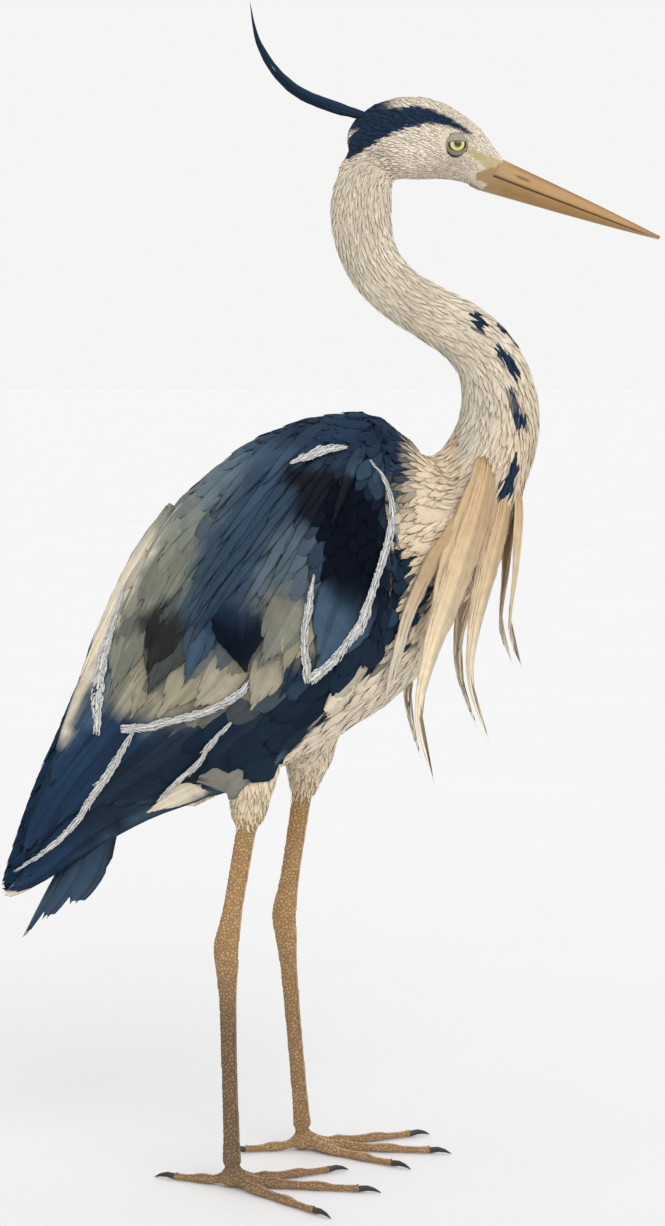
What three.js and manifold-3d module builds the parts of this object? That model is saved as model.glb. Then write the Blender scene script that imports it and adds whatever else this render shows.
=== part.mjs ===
// A grey heron standing at rest, life size, as a still model in named solids.
// Millimetres. +Z is up, +X is the way the bill points, and +Y is the bird's left.
// The model is first laid out about a point on the floor under the body, and the
// last lines move it so that the origin is at the bottom centre of its box.
import * as THREE from "three";
import { mergeVertices } from "three/addons/utils/BufferGeometryUtils.js";
import Module from "manifold-3d";

// ---------------------------------------------------------------- driving sizes
const GAP = 0.3; // clearance between neighbouring solids
const FACET_ERROR = 0.14; // how far a facet may stray when small ones are joined
const FLOOR = 0;
const LEFT = 1;
const RIGHT = -1;

const BILL_LENGTH = 132;
const EYE_RADIUS = 9.2;
const EYE = { x: 112, y: 10, z: 757.3 };

const WING_THICKNESS = 11; // folded wing, at the middle of the side
const WING_PROUD = 2.5; // how far the wing stands above the back
const TAIL_THICKNESS = 5;
const TAIL_HALF_SPREAD = 40;
const TAIL_DROOP = 34; // how far the outer tail feathers hang under the middle ones

const CLAW_LENGTH = 15;
const TOE_RADIUS = 4.9;
const TOE_TIP_RADIUS = 3.3;
const PHALANX_SWELL = 0.13; // how much a toe's joints stand out, as a share of its radius

// Stations of the body, from breast to tail root: centre, half depth and half width.
// `under` is the part of the half width that belongs to the folded wing.
const BODY = [
  { x: 134, z: 517, deep: 35, wide: 30, under: 0 },
  { x: 120, z: 502, deep: 53, wide: 46, under: 0 },
  { x: 99, z: 491, deep: 72, wide: 61, under: 0 },
  { x: 64, z: 480, deep: 98, wide: 74, under: 8 },
  { x: 28, z: 458, deep: 110, wide: 80, under: WING_THICKNESS },
  { x: -7, z: 430, deep: 111, wide: 81, under: WING_THICKNESS },
  { x: -40, z: 399, deep: 103, wide: 75, under: WING_THICKNESS },
  { x: -74, z: 367, deep: 90, wide: 63, under: WING_THICKNESS },
  { x: -104, z: 336, deep: 73, wide: 50, under: WING_THICKNESS },
  { x: -133, z: 305, deep: 54, wide: 36, under: WING_THICKNESS },
  { x: -152, z: 282, deep: 37, wide: 25, under: 9 },
];
// Where the folded wings run on past the body, to their tips.
const WING_TAIL = [
  { x: -133, z: 305, deep: 60, wide: 37 },
  { x: -153, z: 283, deep: 53, wide: 29 },
  { x: -178, z: 258, deep: 44, wide: 20 },
  { x: -202, z: 234, deep: 35, wide: 13 },
  { x: -228, z: 208, deep: 26, wide: 8 },
];
// Side outline of the folded wing, from the shoulder round the lower edge to the
// tip and back along the back.
const WING_OUTLINE = [
  [46, 576],
  [64, 545],
  [66.5, 500],
  [70, 456],
  [59, 394],
  [22, 347],
  [-22, 309],
  [-70, 288],
  [-118, 272],
  [-161, 248],
  [-196, 222],
  [-221, 213],
  [-214, 243],
  [-195, 296],
  [-171, 353],
  [-148, 416],
  [-124, 478],
  [-91, 526],
  [-42, 564],
  [10, 582],
];

// Stations of the neck, from inside the head down the S to inside the breast.
const NECK = [
  { x: 53, z: 749, deep: 19, wide: 14 },
  { x: 46.6, z: 729, deep: 25, wide: 18.5 },
  { x: 44.4, z: 709, deep: 25.5, wide: 18.5 },
  { x: 47.4, z: 688, deep: 24.5, wide: 17.5 },
  { x: 56.2, z: 669, deep: 23.5, wide: 17 },
  { x: 72.5, z: 652, deep: 23, wide: 16.5 },
  { x: 94, z: 638.6, deep: 23.5, wide: 17 },
  { x: 116.2, z: 626, deep: 25, wide: 18 },
  { x: 134, z: 609, deep: 27, wide: 19.5 },
  { x: 143.6, z: 587, deep: 29.5, wide: 22 },
  { x: 145.8, z: 562, deep: 33, wide: 26 },
  { x: 138.5, z: 536, deep: 36.5, wide: 32 },
  { x: 127, z: 510, deep: 43, wide: 40 },
];
const NECK_LENGTHS = [
  ["neck_upper", 0, 0.3],
  ["neck_upper_bend", 0.3, 0.53],
  ["neck_lower_bend", 0.53, 0.77],
  ["neck_base", 0.77, 1],
];

// Stations of the head, from the nape to the feather line at the bill.
const HEAD = [
  { x: 37, z: 751, deep: 8, wide: 6 },
  { x: 45, z: 756, deep: 21, wide: 13 },
  { x: 62, z: 762, deep: 29, wide: 18.5 },
  { x: 83, z: 763.5, deep: 32, wide: 20.2 },
  { x: 102, z: 759.5, deep: 29.5, wide: 19 },
  { x: 118.5, z: 751.5, deep: 23, wide: 15.2 },
  { x: 131.5, z: 742.5, deep: 17, wide: 11.4 },
  { x: 141, z: 736, deep: 14, wide: 9.6 },
];

const BILL_BASE = { x: 137, z: 738 };
const BILL_DROP_DEG = 20.4; // the bill points this far under level
const BILL_SECTIONS = [
  { along: -0.03, deep: 13.8, wide: 9 },
  { along: 0.2, deep: 11.2, wide: 7.3 },
  { along: 0.42, deep: 8.9, wide: 5.9 },
  { along: 0.64, deep: 6.3, wide: 4.4 },
  { along: 0.84, deep: 3.6, wide: 2.9 },
  { along: 0.96, deep: 1.6, wide: 1.5 },
  { along: 1, deep: 0.6, wide: 0.6 },
];
const GAPE_SHIFT = -1.2; // the cut between the mandibles lies this far under the axis

// The two long plumes of the nape, as the right one runs; the left is turned out
// a little further and lies lower.
const CREST_PATH = [
  { x: 52, y: 3, z: 781 },
  { x: 26, y: 5, z: 786 },
  { x: 0, y: 7, z: 797 },
  { x: -18, y: 9, z: 813.5 },
  { x: -30, y: 10, z: 834.5 },
  { x: -35.5, y: 11, z: 860 },
];
const CREST_HALF_WIDTH = 4;
const CREST_HALF_THICKNESS = 0.9;

// Long plumes that hang from the base of the foreneck. `face` is the way the flat
// of the blade looks, and the paths are those of the right side.
const BREAST_PLUMES = [
  {
    name: "breast_plume_outer",
    face: [0.35, -1, 0],
    halfWidth: 12.5,
    path: [
      [131, -43, 516],
      [111, -60, 450],
      [92, -62, 392],
      [85, -57, 348],
      [97, -52, 298],
    ],
  },
  {
    name: "breast_plume_middle",
    face: [0.8, -0.9, 0],
    halfWidth: 10.5,
    path: [
      [147, -29, 500],
      [135, -41, 452],
      [125, -40, 407],
      [123, -37, 370],
      [137, -33, 326],
    ],
  },
  {
    name: "breast_plume_front",
    face: [1, -0.35, 0],
    halfWidth: 9,
    path: [
      [163, -12, 500],
      [158, -13, 456],
      [153, -12, 421],
      [153, -11, 400],
      [161, -10, 378],
    ],
  },
];
const PLUME_HALF_THICKNESS = 1.3;

// Legs: the hip end of the feathered thigh, its lower end, the ankle and the foot.
const LEGS = [
  {
    side: RIGHT,
    name: "right",
    hip: [-32, -34, 332],
    cuff: [-38, -40, 270],
    ankle: [-53.5, -42, 179],
    foot: [-50, -44, 13],
    toes: [
      ["inner", 23, 78],
      ["middle", -8, 95],
      ["outer", -44, 86],
      ["hind", 161, 46],
    ],
  },
  {
    side: LEFT,
    name: "left",
    hip: [9, 32, 332],
    cuff: [1, 38, 279],
    ankle: [-13, 40, 185],
    foot: [1, 42, 13],
    toes: [
      ["inner", -31, 80],
      ["middle", -6, 99],
      ["outer", 20, 90],
      ["hind", 190, 46],
    ],
  },
];

// ---------------------------------------------------------------------- finishes
const finish = (colour, roughness) =>
  new THREE.MeshStandardMaterial({ color: colour, roughness, metalness: 0 });
const PALE = finish(0xd9cdb8, 0.8);
const SLATE = finish(0x2f3d52, 0.75);
const INK = finish(0x141c2b, 0.7);
const CREAM = finish(0xdcc8a2, 0.8);
const OCHRE = finish(0xb98c4f, 0.5);
const SHIN = finish(0x94714a, 0.6);
const HORN = finish(0x3c2f22, 0.45);
const IRIS = finish(0xe6d769, 0.1);

// ---------------------------------------------------------- solids and geometry
const wasm = await Module();
wasm.setup();

/** A closed geometry as a manifold solid, facing out. */
function toSolid(geometry) {
  const bare = geometry.clone();
  bare.deleteAttribute("normal");
  bare.deleteAttribute("uv");
  const merged = mergeVertices(bare, 1e-4);
  const triVerts = new Uint32Array(merged.index.array);
  const vertProperties = merged.attributes.position.array;
  const made = new wasm.Manifold(
    new wasm.Mesh({ numProp: 3, vertProperties, triVerts }),
  );
  if (made.volume() > 0) return made;
  for (let i = 0; i < triVerts.length; i += 3) {
    [triVerts[i + 1], triVerts[i + 2]] = [triVerts[i + 2], triVerts[i + 1]];
  }
  return new wasm.Manifold(
    new wasm.Mesh({ numProp: 3, vertProperties, triVerts }),
  );
}

/** A manifold solid as a three.js geometry. */
function toGeometry(solid) {
  const mesh = solid.getMesh();
  return new THREE.BufferGeometry()
    .setAttribute("position", new THREE.BufferAttribute(mesh.vertProperties, 3))
    .setIndex(new THREE.BufferAttribute(mesh.triVerts, 1));
}

/** The largest of a solid's separate bodies, so that no sliver is left beside it. */
function largest(solid) {
  const bodies = solid.decompose();
  return bodies.reduce((a, b) => (a.volume() > b.volume() ? a : b));
}

/** `solid` less each of the tools, as one body. */
function cutBy(solid, ...tools) {
  return largest(tools.reduce((rest, tool) => rest.subtract(tool), solid));
}

/** Moves every vertex of a geometry to where `place` puts it. */
function warp(geometry, place) {
  const position = geometry.getAttribute("position");
  const at = new THREE.Vector3();
  for (let i = 0; i < position.count; i += 1) {
    at.fromBufferAttribute(position, i);
    const to = place(at);
    position.setXYZ(i, to.x, to.y, to.z);
  }
  return geometry;
}

const vectorOf = ({ x, y = 0, z }) => new THREE.Vector3(x, y, z);
const ACROSS = new THREE.Vector3(0, 1, 0);

/**
 * A closed tube along stations of centre, half depth and half width. `from` and
 * `to` are shares of its length, `grow` swells it, and `egg` widens its upper half.
 */
function tube(stations, options = {}) {
  const { sides = 18, rows = 16, from = 0, to = 1, grow = 0, egg = 0 } = options;
  const centre = new THREE.CatmullRomCurve3(stations.map(vectorOf));
  const size = new THREE.CatmullRomCurve3(
    stations.map(({ deep, wide }) => new THREE.Vector3(deep, wide, 0)),
  );
  return toSolid(
    warp(new THREE.CylinderGeometry(1, 1, 1, sides, rows), (at) => {
      const t = from + (0.5 - at.y) * (to - from);
      const along = centre.getTangent(t);
      const deepAxis = along.clone().cross(ACROSS).normalize();
      const wideAxis = along.clone().cross(deepAxis).normalize();
      const half = size.getPoint(t);
      const swell = 1 + egg * at.x;
      const past = Math.abs(at.y) > 0.499 ? -2 * at.y * grow : 0;
      return centre
        .getPoint(t)
        .addScaledVector(along, past)
        .addScaledVector(deepAxis, at.x * (half.x + grow))
        .addScaledVector(wideAxis, at.z * (half.y + grow) * swell);
    }),
  );
}

/** A ball stretched to three half sizes. */
function ball(centre, half, columns = 14, rows = 10) {
  return toSolid(
    new THREE.SphereGeometry(1, columns, rows)
      .scale(half[0], half[1], half[2])
      .translate(centre.x, centre.y, centre.z),
  );
}

/**
 * A long thin blade along a path, widest a third of the way down and pointed at
 * its end, with a lens-shaped section whose flat looks along `face`.
 */
function blade(path, face, halfWidth, halfThickness, rows = 10) {
  const centre = new THREE.CatmullRomCurve3(path);
  const look = new THREE.Vector3(...face).normalize();
  const rootShare = 0.55; // of the full width, at the root
  const tipShare = 0.07;
  const taperFrom = 0.45; // share of the length where the blade starts to narrow
  return toSolid(
    warp(new THREE.CylinderGeometry(1, 1, 1, 6, rows), (at) => {
      const t = 0.5 - at.y;
      const along = centre.getTangent(t);
      const widthAxis = look.clone().cross(along).normalize();
      const thickAxis = along.clone().cross(widthAxis).normalize();
      const swell = rootShare + (1 - rootShare) * Math.sin(Math.min(1, t * 2.2) * Math.PI * 0.5);
      const ahead = Math.max(0, (t - taperFrom) / (1 - taperFrom));
      const taper = Math.sqrt(Math.max(0, 1 - Math.pow(ahead, 1.8)));
      const share = Math.max(tipShare, swell * taper);
      const thin = Math.max(0.45, Math.sqrt(share));
      return centre
        .getPoint(t)
        .addScaledVector(widthAxis, at.x * halfWidth * share)
        .addScaledVector(thickAxis, at.z * halfThickness * thin);
    }),
  );
}

/** A slab of a closed side outline, from `near` to `far` along Y. */
function slab(outline, near, far) {
  const shape = new THREE.Shape();
  const curve = new THREE.SplineCurve(
    [...outline, outline[0]].map(([x, z]) => new THREE.Vector2(x, z)),
  );
  shape.setFromPoints(curve.getPoints(outline.length * 3).slice(0, -1));
  const depth = Math.abs(far - near);
  const made = new THREE.ExtrudeGeometry(shape, { depth, bevelEnabled: false });
  return toSolid(made.rotateX(Math.PI / 2).translate(0, Math.max(near, far), 0));
}

// --------------------------------------------------------------------- the bird
const group = new THREE.Group();

/** Adds a solid to the model as a named mesh, without its needless facets. */
function add(name, solid, material) {
  const mesh = new THREE.Mesh(toGeometry(solid.simplify(FACET_ERROR)), material);
  mesh.name = name;
  group.add(mesh);
}

/** The trunk without the wings; `grow` swells it for use as a cutting tool. */
function trunkSolid(grow = 0) {
  const stations = BODY.map(({ x, z, deep, wide, under }) => ({
    x,
    z,
    deep,
    wide: wide - under,
  }));
  return tube(stations, { sides: 18, rows: 16, grow, egg: 0.1 });
}

/** The roof-shaped fan of the tail. */
function tailSolid(grow = 0) {
  const root = new THREE.Vector3(-134, 0, 306);
  const tip = new THREE.Vector3(-203, 0, 177);
  const along = tip.clone().sub(root);
  const length = along.length();
  along.normalize();
  const upward = along.clone().cross(ACROSS).normalize().negate();
  const rootHalf = 15;
  const stepBack = 0.34; // the outer feathers end this share of the length short
  return toSolid(
    warp(new THREE.BoxGeometry(1, 1, 1, 8, 5, 1), (at) => {
      const t = at.y + 0.5;
      const half = rootHalf + (TAIL_HALF_SPREAD - rootHalf) * t;
      const aside = 2 * at.x * (half + grow);
      const outer = (aside / half) ** 2; // 0 along the middle, 1 at the fan's edge
      const reach = length * t * (1 - stepBack * outer) + grow * (2 * t - 1);
      const drop = TAIL_DROOP * outer * (0.35 + 0.65 * t);
      const thin = TAIL_THICKNESS * (1 - 0.5 * t) + 2 * grow;
      return root
        .clone()
        .addScaledVector(along, reach)
        .addScaledVector(ACROSS, aside)
        .addScaledVector(upward, at.z * thin - drop);
    }),
  );
}

/** The outer shell of the body inside one wing's outline, on one side. */
function wingBlank(side, grow = 0) {
  const overBody = BODY.slice(0, -2).map(({ x, z, deep, wide }) => ({
    x,
    z,
    deep: deep + WING_PROUD,
    wide,
  }));
  const shell = tube([...overBody, ...WING_TAIL], { sides: 20, rows: 20, grow });
  const wellOutside = 140; // past the wing's outer face
  const fromMiddle = 0.4; // the two wings meet over the back with this half gap
  const middle = new THREE.Vector2(-60, 400);
  const outline = WING_OUTLINE.map(([x, z]) => {
    const out = new THREE.Vector2(x, z).sub(middle);
    return out.setLength(out.length() + 3 * grow).add(middle).toArray();
  });
  const outlineSlab = slab(outline, side * (fromMiddle - grow), side * wellOutside);
  return shell.intersect(outlineSlab);
}

const trunkTool = trunkSolid(GAP);
const tailTool = tailSolid(2 * GAP);

/** Head, eyes and the two halves of the bill. */
function addHead() {
  const headOptions = { sides: 16, rows: 11, egg: -0.06 };
  const angle = THREE.MathUtils.degToRad(-BILL_DROP_DEG);
  const ahead = new THREE.Vector3(Math.cos(angle), 0, Math.sin(angle));
  const bill = tube(
    BILL_SECTIONS.map(({ along, deep, wide }) => ({
      x: BILL_BASE.x + ahead.x * along * BILL_LENGTH,
      z: BILL_BASE.z + ahead.z * along * BILL_LENGTH,
      deep,
      wide,
    })),
    { sides: 12, rows: 12, egg: -0.15 },
  );
  const eyes = [LEFT, RIGHT].map((side) => {
    const centre = { x: EYE.x, y: side * EYE.y, z: EYE.z };
    const sized = (radius) => ball(centre, [radius, radius, radius], 10, 8);
    return { side, eye: sized(EYE_RADIUS), socket: sized(EYE_RADIUS + GAP) };
  });
  const head = cutBy(tube(HEAD, headOptions), ...eyes.map(({ socket }) => socket));
  add("head", head, PALE);
  for (const { side, eye } of eyes) {
    add(side === LEFT ? "eye_left" : "eye_right", eye, IRIS);
  }

  const headTool = tube(HEAD, { ...headOptions, grow: GAP });
  const billBody = cutBy(bill, headTool);
  const upward = new THREE.Vector3(-ahead.z, 0, ahead.x);
  const gapeAt =
    upward.x * BILL_BASE.x + upward.z * BILL_BASE.z + GAPE_SHIFT;
  const halfGap = GAP / 2;
  const up = upward.toArray();
  const down = upward.clone().negate().toArray();
  add("bill_upper", largest(billBody.trimByPlane(up, gapeAt + halfGap)), OCHRE);
  add("bill_lower", largest(billBody.trimByPlane(down, -gapeAt + halfGap)), OCHRE);

  for (const side of [LEFT, RIGHT]) {
    const turnedOut = side === LEFT ? 1.25 : 1;
    const lower = side === LEFT ? 5 : 0;
    const path = CREST_PATH.map(({ x, y, z }, i) => {
      const share = i / (CREST_PATH.length - 1);
      return new THREE.Vector3(x, side * y * turnedOut, z - lower * share);
    });
    const crest = blade(
      path,
      [0.3, side * 0.8, 0.6],
      CREST_HALF_WIDTH,
      CREST_HALF_THICKNESS,
      12,
    );
    add(side === LEFT ? "crest_plume_left" : "crest_plume_right", cutBy(crest, headTool), INK);
  }
  return headTool;
}

/** The neck in four lengths, cut clear of the head and the breast. */
function addNeck(headTool) {
  for (const [name, from, to] of NECK_LENGTHS) {
    const halfGap = 0.0004; // a share of the neck's length, about GAP / 2
    const length = tube(NECK, {
      sides: 14,
      rows: 6,
      from: from + halfGap,
      to: to - halfGap,
    });
    add(name, cutBy(length, headTool, trunkTool), PALE);
  }
}

/** The plumes that hang from the foot of the foreneck, three on each side. */
function addBreastPlumes() {
  const neckTool = tube(NECK, { sides: 14, rows: 24, grow: GAP });
  for (const side of [RIGHT, LEFT]) {
    const sideName = side === LEFT ? "left" : "right";
    const back = side === LEFT ? -5 : 0; // the left plumes lie a little further back
    for (const { name, face, halfWidth, path } of BREAST_PLUMES) {
      const placed = path.map(
        ([x, y, z]) => new THREE.Vector3(x + back, -side * y, z),
      );
      const look = [face[0], -side * face[1], face[2]];
      const plume = blade(placed, look, halfWidth, PLUME_HALF_THICKNESS);
      add(`${name}_${sideName}`, cutBy(plume, trunkTool, neckTool), CREAM);
    }
  }
}

const pointOf = ([x, y, z]) => ({ x, y, z });
const between = (a, b, share) => a.map((value, i) => value + (b[i] - value) * share);
const sized = (point, deep, wide) => ({ ...pointOf(point), deep, wide });

/** A toe's solid and its claw's, from the foot outwards along the floor. */
function toeSolids(foot, degrees, length, grow = 0) {
  const heading = THREE.MathUtils.degToRad(degrees);
  const out = [Math.cos(heading), Math.sin(heading)];
  const joints = degrees > 120 ? 2 : 3;
  const steps = 3 * joints;
  const stations = [];
  for (let i = 0; i <= steps; i += 1) {
    const t = i / steps;
    const swell = 1 + PHALANX_SWELL * Math.cos(t * joints * 2 * Math.PI);
    const radius = (TOE_RADIUS + (TOE_TIP_RADIUS - TOE_RADIUS) * t) * swell;
    const rise = (foot[2] - TOE_RADIUS) * Math.pow(1 - Math.min(1, t * 3.2), 2);
    stations.push({
      x: foot[0] + out[0] * length * t,
      y: foot[1] + out[1] * length * t,
      z: FLOOR + radius * 0.86 + rise,
      deep: radius + grow,
      wide: radius + grow,
    });
  }
  const end = stations[steps];
  const clawSteps = [
    [0, 1, 2.3],
    [0.35, 1.25, 2],
    [0.7, 0.8, 1.4],
    [1, 0.15, 0.5],
  ];
  const claw = clawSteps.map(([share, lift, radius]) => ({
    x: end.x + out[0] * (share * CLAW_LENGTH + GAP),
    y: end.y + out[1] * (share * CLAW_LENGTH + GAP),
    z: FLOOR + 0.6 + lift * TOE_TIP_RADIUS * 0.7,
    deep: radius,
    wide: radius * 0.8,
  }));
  return {
    toe: tubeOnFloor(stations, 8, 3 * joints),
    claw: tubeOnFloor(claw, 6, 4),
  };
}

/** A round tube on the floor, with its sole pressed flat at floor level. */
function tubeOnFloor(stations, sides, rows) {
  const centre = new THREE.CatmullRomCurve3(stations.map(vectorOf));
  const size = new THREE.CatmullRomCurve3(
    stations.map(({ deep, wide }) => new THREE.Vector3(deep, wide, 0)),
  );
  const up = new THREE.Vector3(0, 0, 1);
  const halfFacet = Math.PI / sides; // turns the ring so that a facet is underneath
  return toSolid(
    warp(new THREE.CylinderGeometry(1, 1, 1, sides, rows, false, halfFacet), (at) => {
      const t = 0.5 - at.y;
      const along = centre.getTangent(t);
      const sideways = along.clone().cross(up).normalize();
      const upward = sideways.clone().cross(along).normalize();
      const half = size.getPoint(t);
      const place = centre
        .getPoint(t)
        .addScaledVector(upward, at.x * half.x)
        .addScaledVector(sideways, -at.z * half.y);
      place.z = Math.max(FLOOR, place.z);
      return place;
    }),
  );
}

/** Feathered thigh, bare shank, ankle joint, tarsus, foot, toes and claws. */
function addLeg({ side, name, hip, cuff, ankle, foot, toes }) {
  const thigh = (grow) =>
    tube(
      [
        sized(hip, 28, 23),
        sized(between(hip, cuff, 0.35), 23.5, 19),
        sized(between(hip, cuff, 0.65), 19, 15.5),
        sized(between(hip, cuff, 0.88), 13.6, 11.4),
        sized(cuff, 10.6, 9.2),
      ],
      { sides: 12, rows: 7, grow },
    );
  add(`thigh_${name}`, cutBy(thigh(0), trunkTool, wingBlank(side, GAP)), CREAM);

  const halfGap = 0.0016;
  const shank = [
    sized(between(cuff, ankle, -0.08), 7.8, 6.2),
    sized(between(cuff, ankle, 0.3), 7.7, 5.9),
    sized(between(cuff, ankle, 0.62), 7.5, 5.8),
    sized(between(cuff, ankle, 0.82), 8.4, 6.5),
    sized(ankle, 10, 7.6),
    sized(between(ankle, foot, 0.09), 9, 6.8),
    sized(between(ankle, foot, 0.22), 7, 5.5),
    sized(between(ankle, foot, 0.55), 6.4, 5),
    sized(between(ankle, foot, 0.85), 6.5, 5.2),
    sized(between(ankle, foot, 0.97), 7.6, 7),
  ];
  const shankCut = 0.385; // where the shank ends and the ankle joint starts
  const ankleCut = 0.56;
  const length = (from, to, rows) =>
    tube(shank, { sides: 10, rows, from: from + halfGap, to: to - halfGap });
  add(`shank_${name}`, cutBy(length(0, shankCut, 6), thigh(GAP)), SHIN);
  add(`ankle_${name}`, length(shankCut, ankleCut, 5), SHIN);

  const soleRadius = 8.2;
  const hub = { x: foot[0], y: foot[1], z: FLOOR + 6.6 };
  const hubSize = [soleRadius + 0.8, soleRadius, 7.4];
  const hubSolid = largest(ball(hub, hubSize, 10, 6).trimByPlane([0, 0, 1], FLOOR));
  const hubTool = ball(hub, hubSize.map((half) => half + GAP), 10, 6);
  add(`tarsus_${name}`, cutBy(length(ankleCut, 1, 8), hubTool), SHIN);
  add(`foot_${name}`, hubSolid, SHIN);
  const earlier = [];
  for (const [toeName, degrees, reach] of toes) {
    const { toe, claw } = toeSolids(foot, degrees, reach);
    add(`toe_${toeName}_${name}`, cutBy(toe, hubTool, ...earlier), SHIN);
    add(`claw_${toeName}_${name}`, claw, HORN);
    earlier.push(toeSolids(foot, degrees, reach, GAP).toe);
  }
}

addNeck(addHead());
add("trunk", trunkSolid(), PALE);
add("tail", cutBy(tailSolid(), trunkTool), INK);
add("wing_right", cutBy(wingBlank(RIGHT), trunkTool, tailTool), SLATE);
add("wing_left", cutBy(wingBlank(LEFT), trunkTool, tailTool), SLATE);
addBreastPlumes();
LEGS.forEach(addLeg);

const box = new THREE.Box3().setFromObject(group);
const middle = box.getCenter(new THREE.Vector3());
group.position.set(-middle.x, -middle.y, -box.min.z);

const model = new THREE.Group();
model.add(group);

export default model;
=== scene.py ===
"""Still, life-size grey heron: skin, coat of feathers, bill, eyes, legs and studio.

Sizes are in millimetres on the bird's own axes, the ones of the part's source: X runs
towards the bill, +Y is the bird's left side, and Z is up from the floor. Meshes are made
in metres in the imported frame.
"""

import logging
import math
from dataclasses import dataclass, field
from enum import Enum
from itertools import product
from typing import Any, Callable, Optional, Sequence

import bmesh
import bpy
import numpy as np
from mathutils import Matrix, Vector
from mathutils.bvhtree import BVHTree


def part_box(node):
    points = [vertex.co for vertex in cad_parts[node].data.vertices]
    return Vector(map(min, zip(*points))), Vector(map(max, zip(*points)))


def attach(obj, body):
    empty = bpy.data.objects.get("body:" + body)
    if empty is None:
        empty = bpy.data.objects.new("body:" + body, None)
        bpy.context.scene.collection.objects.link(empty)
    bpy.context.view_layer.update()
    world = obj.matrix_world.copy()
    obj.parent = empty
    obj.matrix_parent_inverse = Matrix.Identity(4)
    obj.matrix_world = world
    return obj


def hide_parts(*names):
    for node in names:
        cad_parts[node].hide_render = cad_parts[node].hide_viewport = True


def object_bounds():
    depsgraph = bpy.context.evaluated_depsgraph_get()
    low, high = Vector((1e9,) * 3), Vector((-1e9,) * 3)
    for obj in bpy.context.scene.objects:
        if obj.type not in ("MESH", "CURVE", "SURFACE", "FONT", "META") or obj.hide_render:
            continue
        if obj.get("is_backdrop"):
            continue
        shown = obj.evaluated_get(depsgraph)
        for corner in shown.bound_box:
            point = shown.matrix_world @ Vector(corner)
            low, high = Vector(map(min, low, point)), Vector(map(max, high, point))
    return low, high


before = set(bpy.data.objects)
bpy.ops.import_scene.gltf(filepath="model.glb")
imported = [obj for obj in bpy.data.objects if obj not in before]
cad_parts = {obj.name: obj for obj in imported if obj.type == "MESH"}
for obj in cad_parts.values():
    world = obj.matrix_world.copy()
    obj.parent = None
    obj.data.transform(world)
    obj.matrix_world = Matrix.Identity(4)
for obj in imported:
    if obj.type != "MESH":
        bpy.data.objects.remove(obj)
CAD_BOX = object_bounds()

LOG = logging.getLogger("heron")
MM = 0.001
Array = np.ndarray
Pair = tuple[Array, Array]
Field = Callable[[Array], Array]
Flat = tuple[float, float]
Point = tuple[float, float, float]
Faces = list[tuple[int, ...]]
Piece = bpy.types.Object
Mesh = bpy.types.Mesh
Material = bpy.types.Material
Node = bpy.types.Node
Socket = bpy.types.NodeSocket


# --------------------------------------------------------------------------------------
# Sizes that the skin and the coat share with the part
# --------------------------------------------------------------------------------------


class Side(Enum):
    """The two sides of the bird, as the sign of Y."""

    RIGHT = -1
    LEFT = 1

    @property
    def tag(self) -> str:
        """Return the side as it ends the names of solids and pieces."""
        return self.name.lower()


@dataclass(frozen=True)
class Station:
    """One cross-section of the body: its middle and its half sizes."""

    x: float
    z: float
    deep: float
    wide: float


HEAD = (
    Station(141, 736, 14, 9.6), Station(131.5, 742.5, 17, 11.4), Station(118.5, 751.5, 23, 15.2),
    Station(102, 759.5, 29.5, 19), Station(83, 763.5, 32, 20.2), Station(62, 762, 29, 18.5),
    Station(45, 756, 21, 13),
)
NECK = (
    Station(53, 749, 19, 14), Station(46.6, 729, 25, 18.5), Station(44.4, 709, 25.5, 18.5),
    Station(47.4, 688, 24.5, 17.5), Station(56.2, 669, 23.5, 17), Station(72.5, 652, 23, 16.5),
    Station(94, 638.6, 23.5, 17), Station(116.2, 626, 25, 18), Station(134, 609, 27, 19.5),
    Station(143.6, 587, 29.5, 22), Station(145.8, 562, 33, 26), Station(138.5, 536, 36.5, 32),
    Station(127, 510, 43, 40),
)
BODY = (
    Station(99, 491, 72, 61), Station(64, 480, 98, 74), Station(28, 458, 110, 80),
    Station(-7, 430, 111, 81), Station(-40, 399, 103, 75), Station(-74, 367, 90, 63),
    Station(-104, 336, 73, 50), Station(-133, 305, 54, 36), Station(-152, 282, 37, 25),
)
EYE_CENTRE = (112.0, 10.0, 757.3)
EYE_RADIUS = 9.2
LEFT_CUFF_RISE = 9.0
UNDER_WING = 22.0  # how far out the sides of the body are that the wings cover
MAP_MARGIN = 0.02

WING_UPPER_EDGE = (
    (50, 572), (10, 582), (-42, 564), (-91, 526), (-124, 478), (-148, 416), (-171, 353), (-195, 296),
    (-214, 243), (-221, 213),
)
WING_LOWER_EDGE = (
    (64, 545), (66.5, 500), (70, 456), (59, 394), (22, 347), (-22, 309), (-70, 288), (-118, 272),
    (-161, 248), (-196, 222), (-221, 213),
)


class BirdFrame:
    """Turns millimetres on the bird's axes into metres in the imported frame."""

    def __init__(self) -> None:
        """Find the shift between the two frames from the right eye."""
        low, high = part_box("eye_right")
        eye = np.array((EYE_CENTRE[0], -EYE_CENTRE[1], EYE_CENTRE[2])) * MM
        self.shift = (np.array(low) + np.array(high)) / 2 - eye

    def metres(self, points: Array) -> Array:
        """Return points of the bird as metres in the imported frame."""
        return np.asarray(points, float) * MM + self.shift

    def millimetres(self, points: Array) -> Array:
        """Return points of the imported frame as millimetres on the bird."""
        return (np.asarray(points, float) - self.shift) / MM


BIRD = BirdFrame()
LEFTWARD = np.array((0.0, 1.0, 0.0))
UPWARD = np.array((0.0, 0.0, 1.0))


# --------------------------------------------------------------------------------------
# Small tools for numbers and meshes
# --------------------------------------------------------------------------------------


def unit(vectors: Array) -> Array:
    """Return the vectors at length one."""
    return vectors / np.maximum(np.linalg.norm(vectors, axis=-1, keepdims=True), 1e-9)


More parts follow.
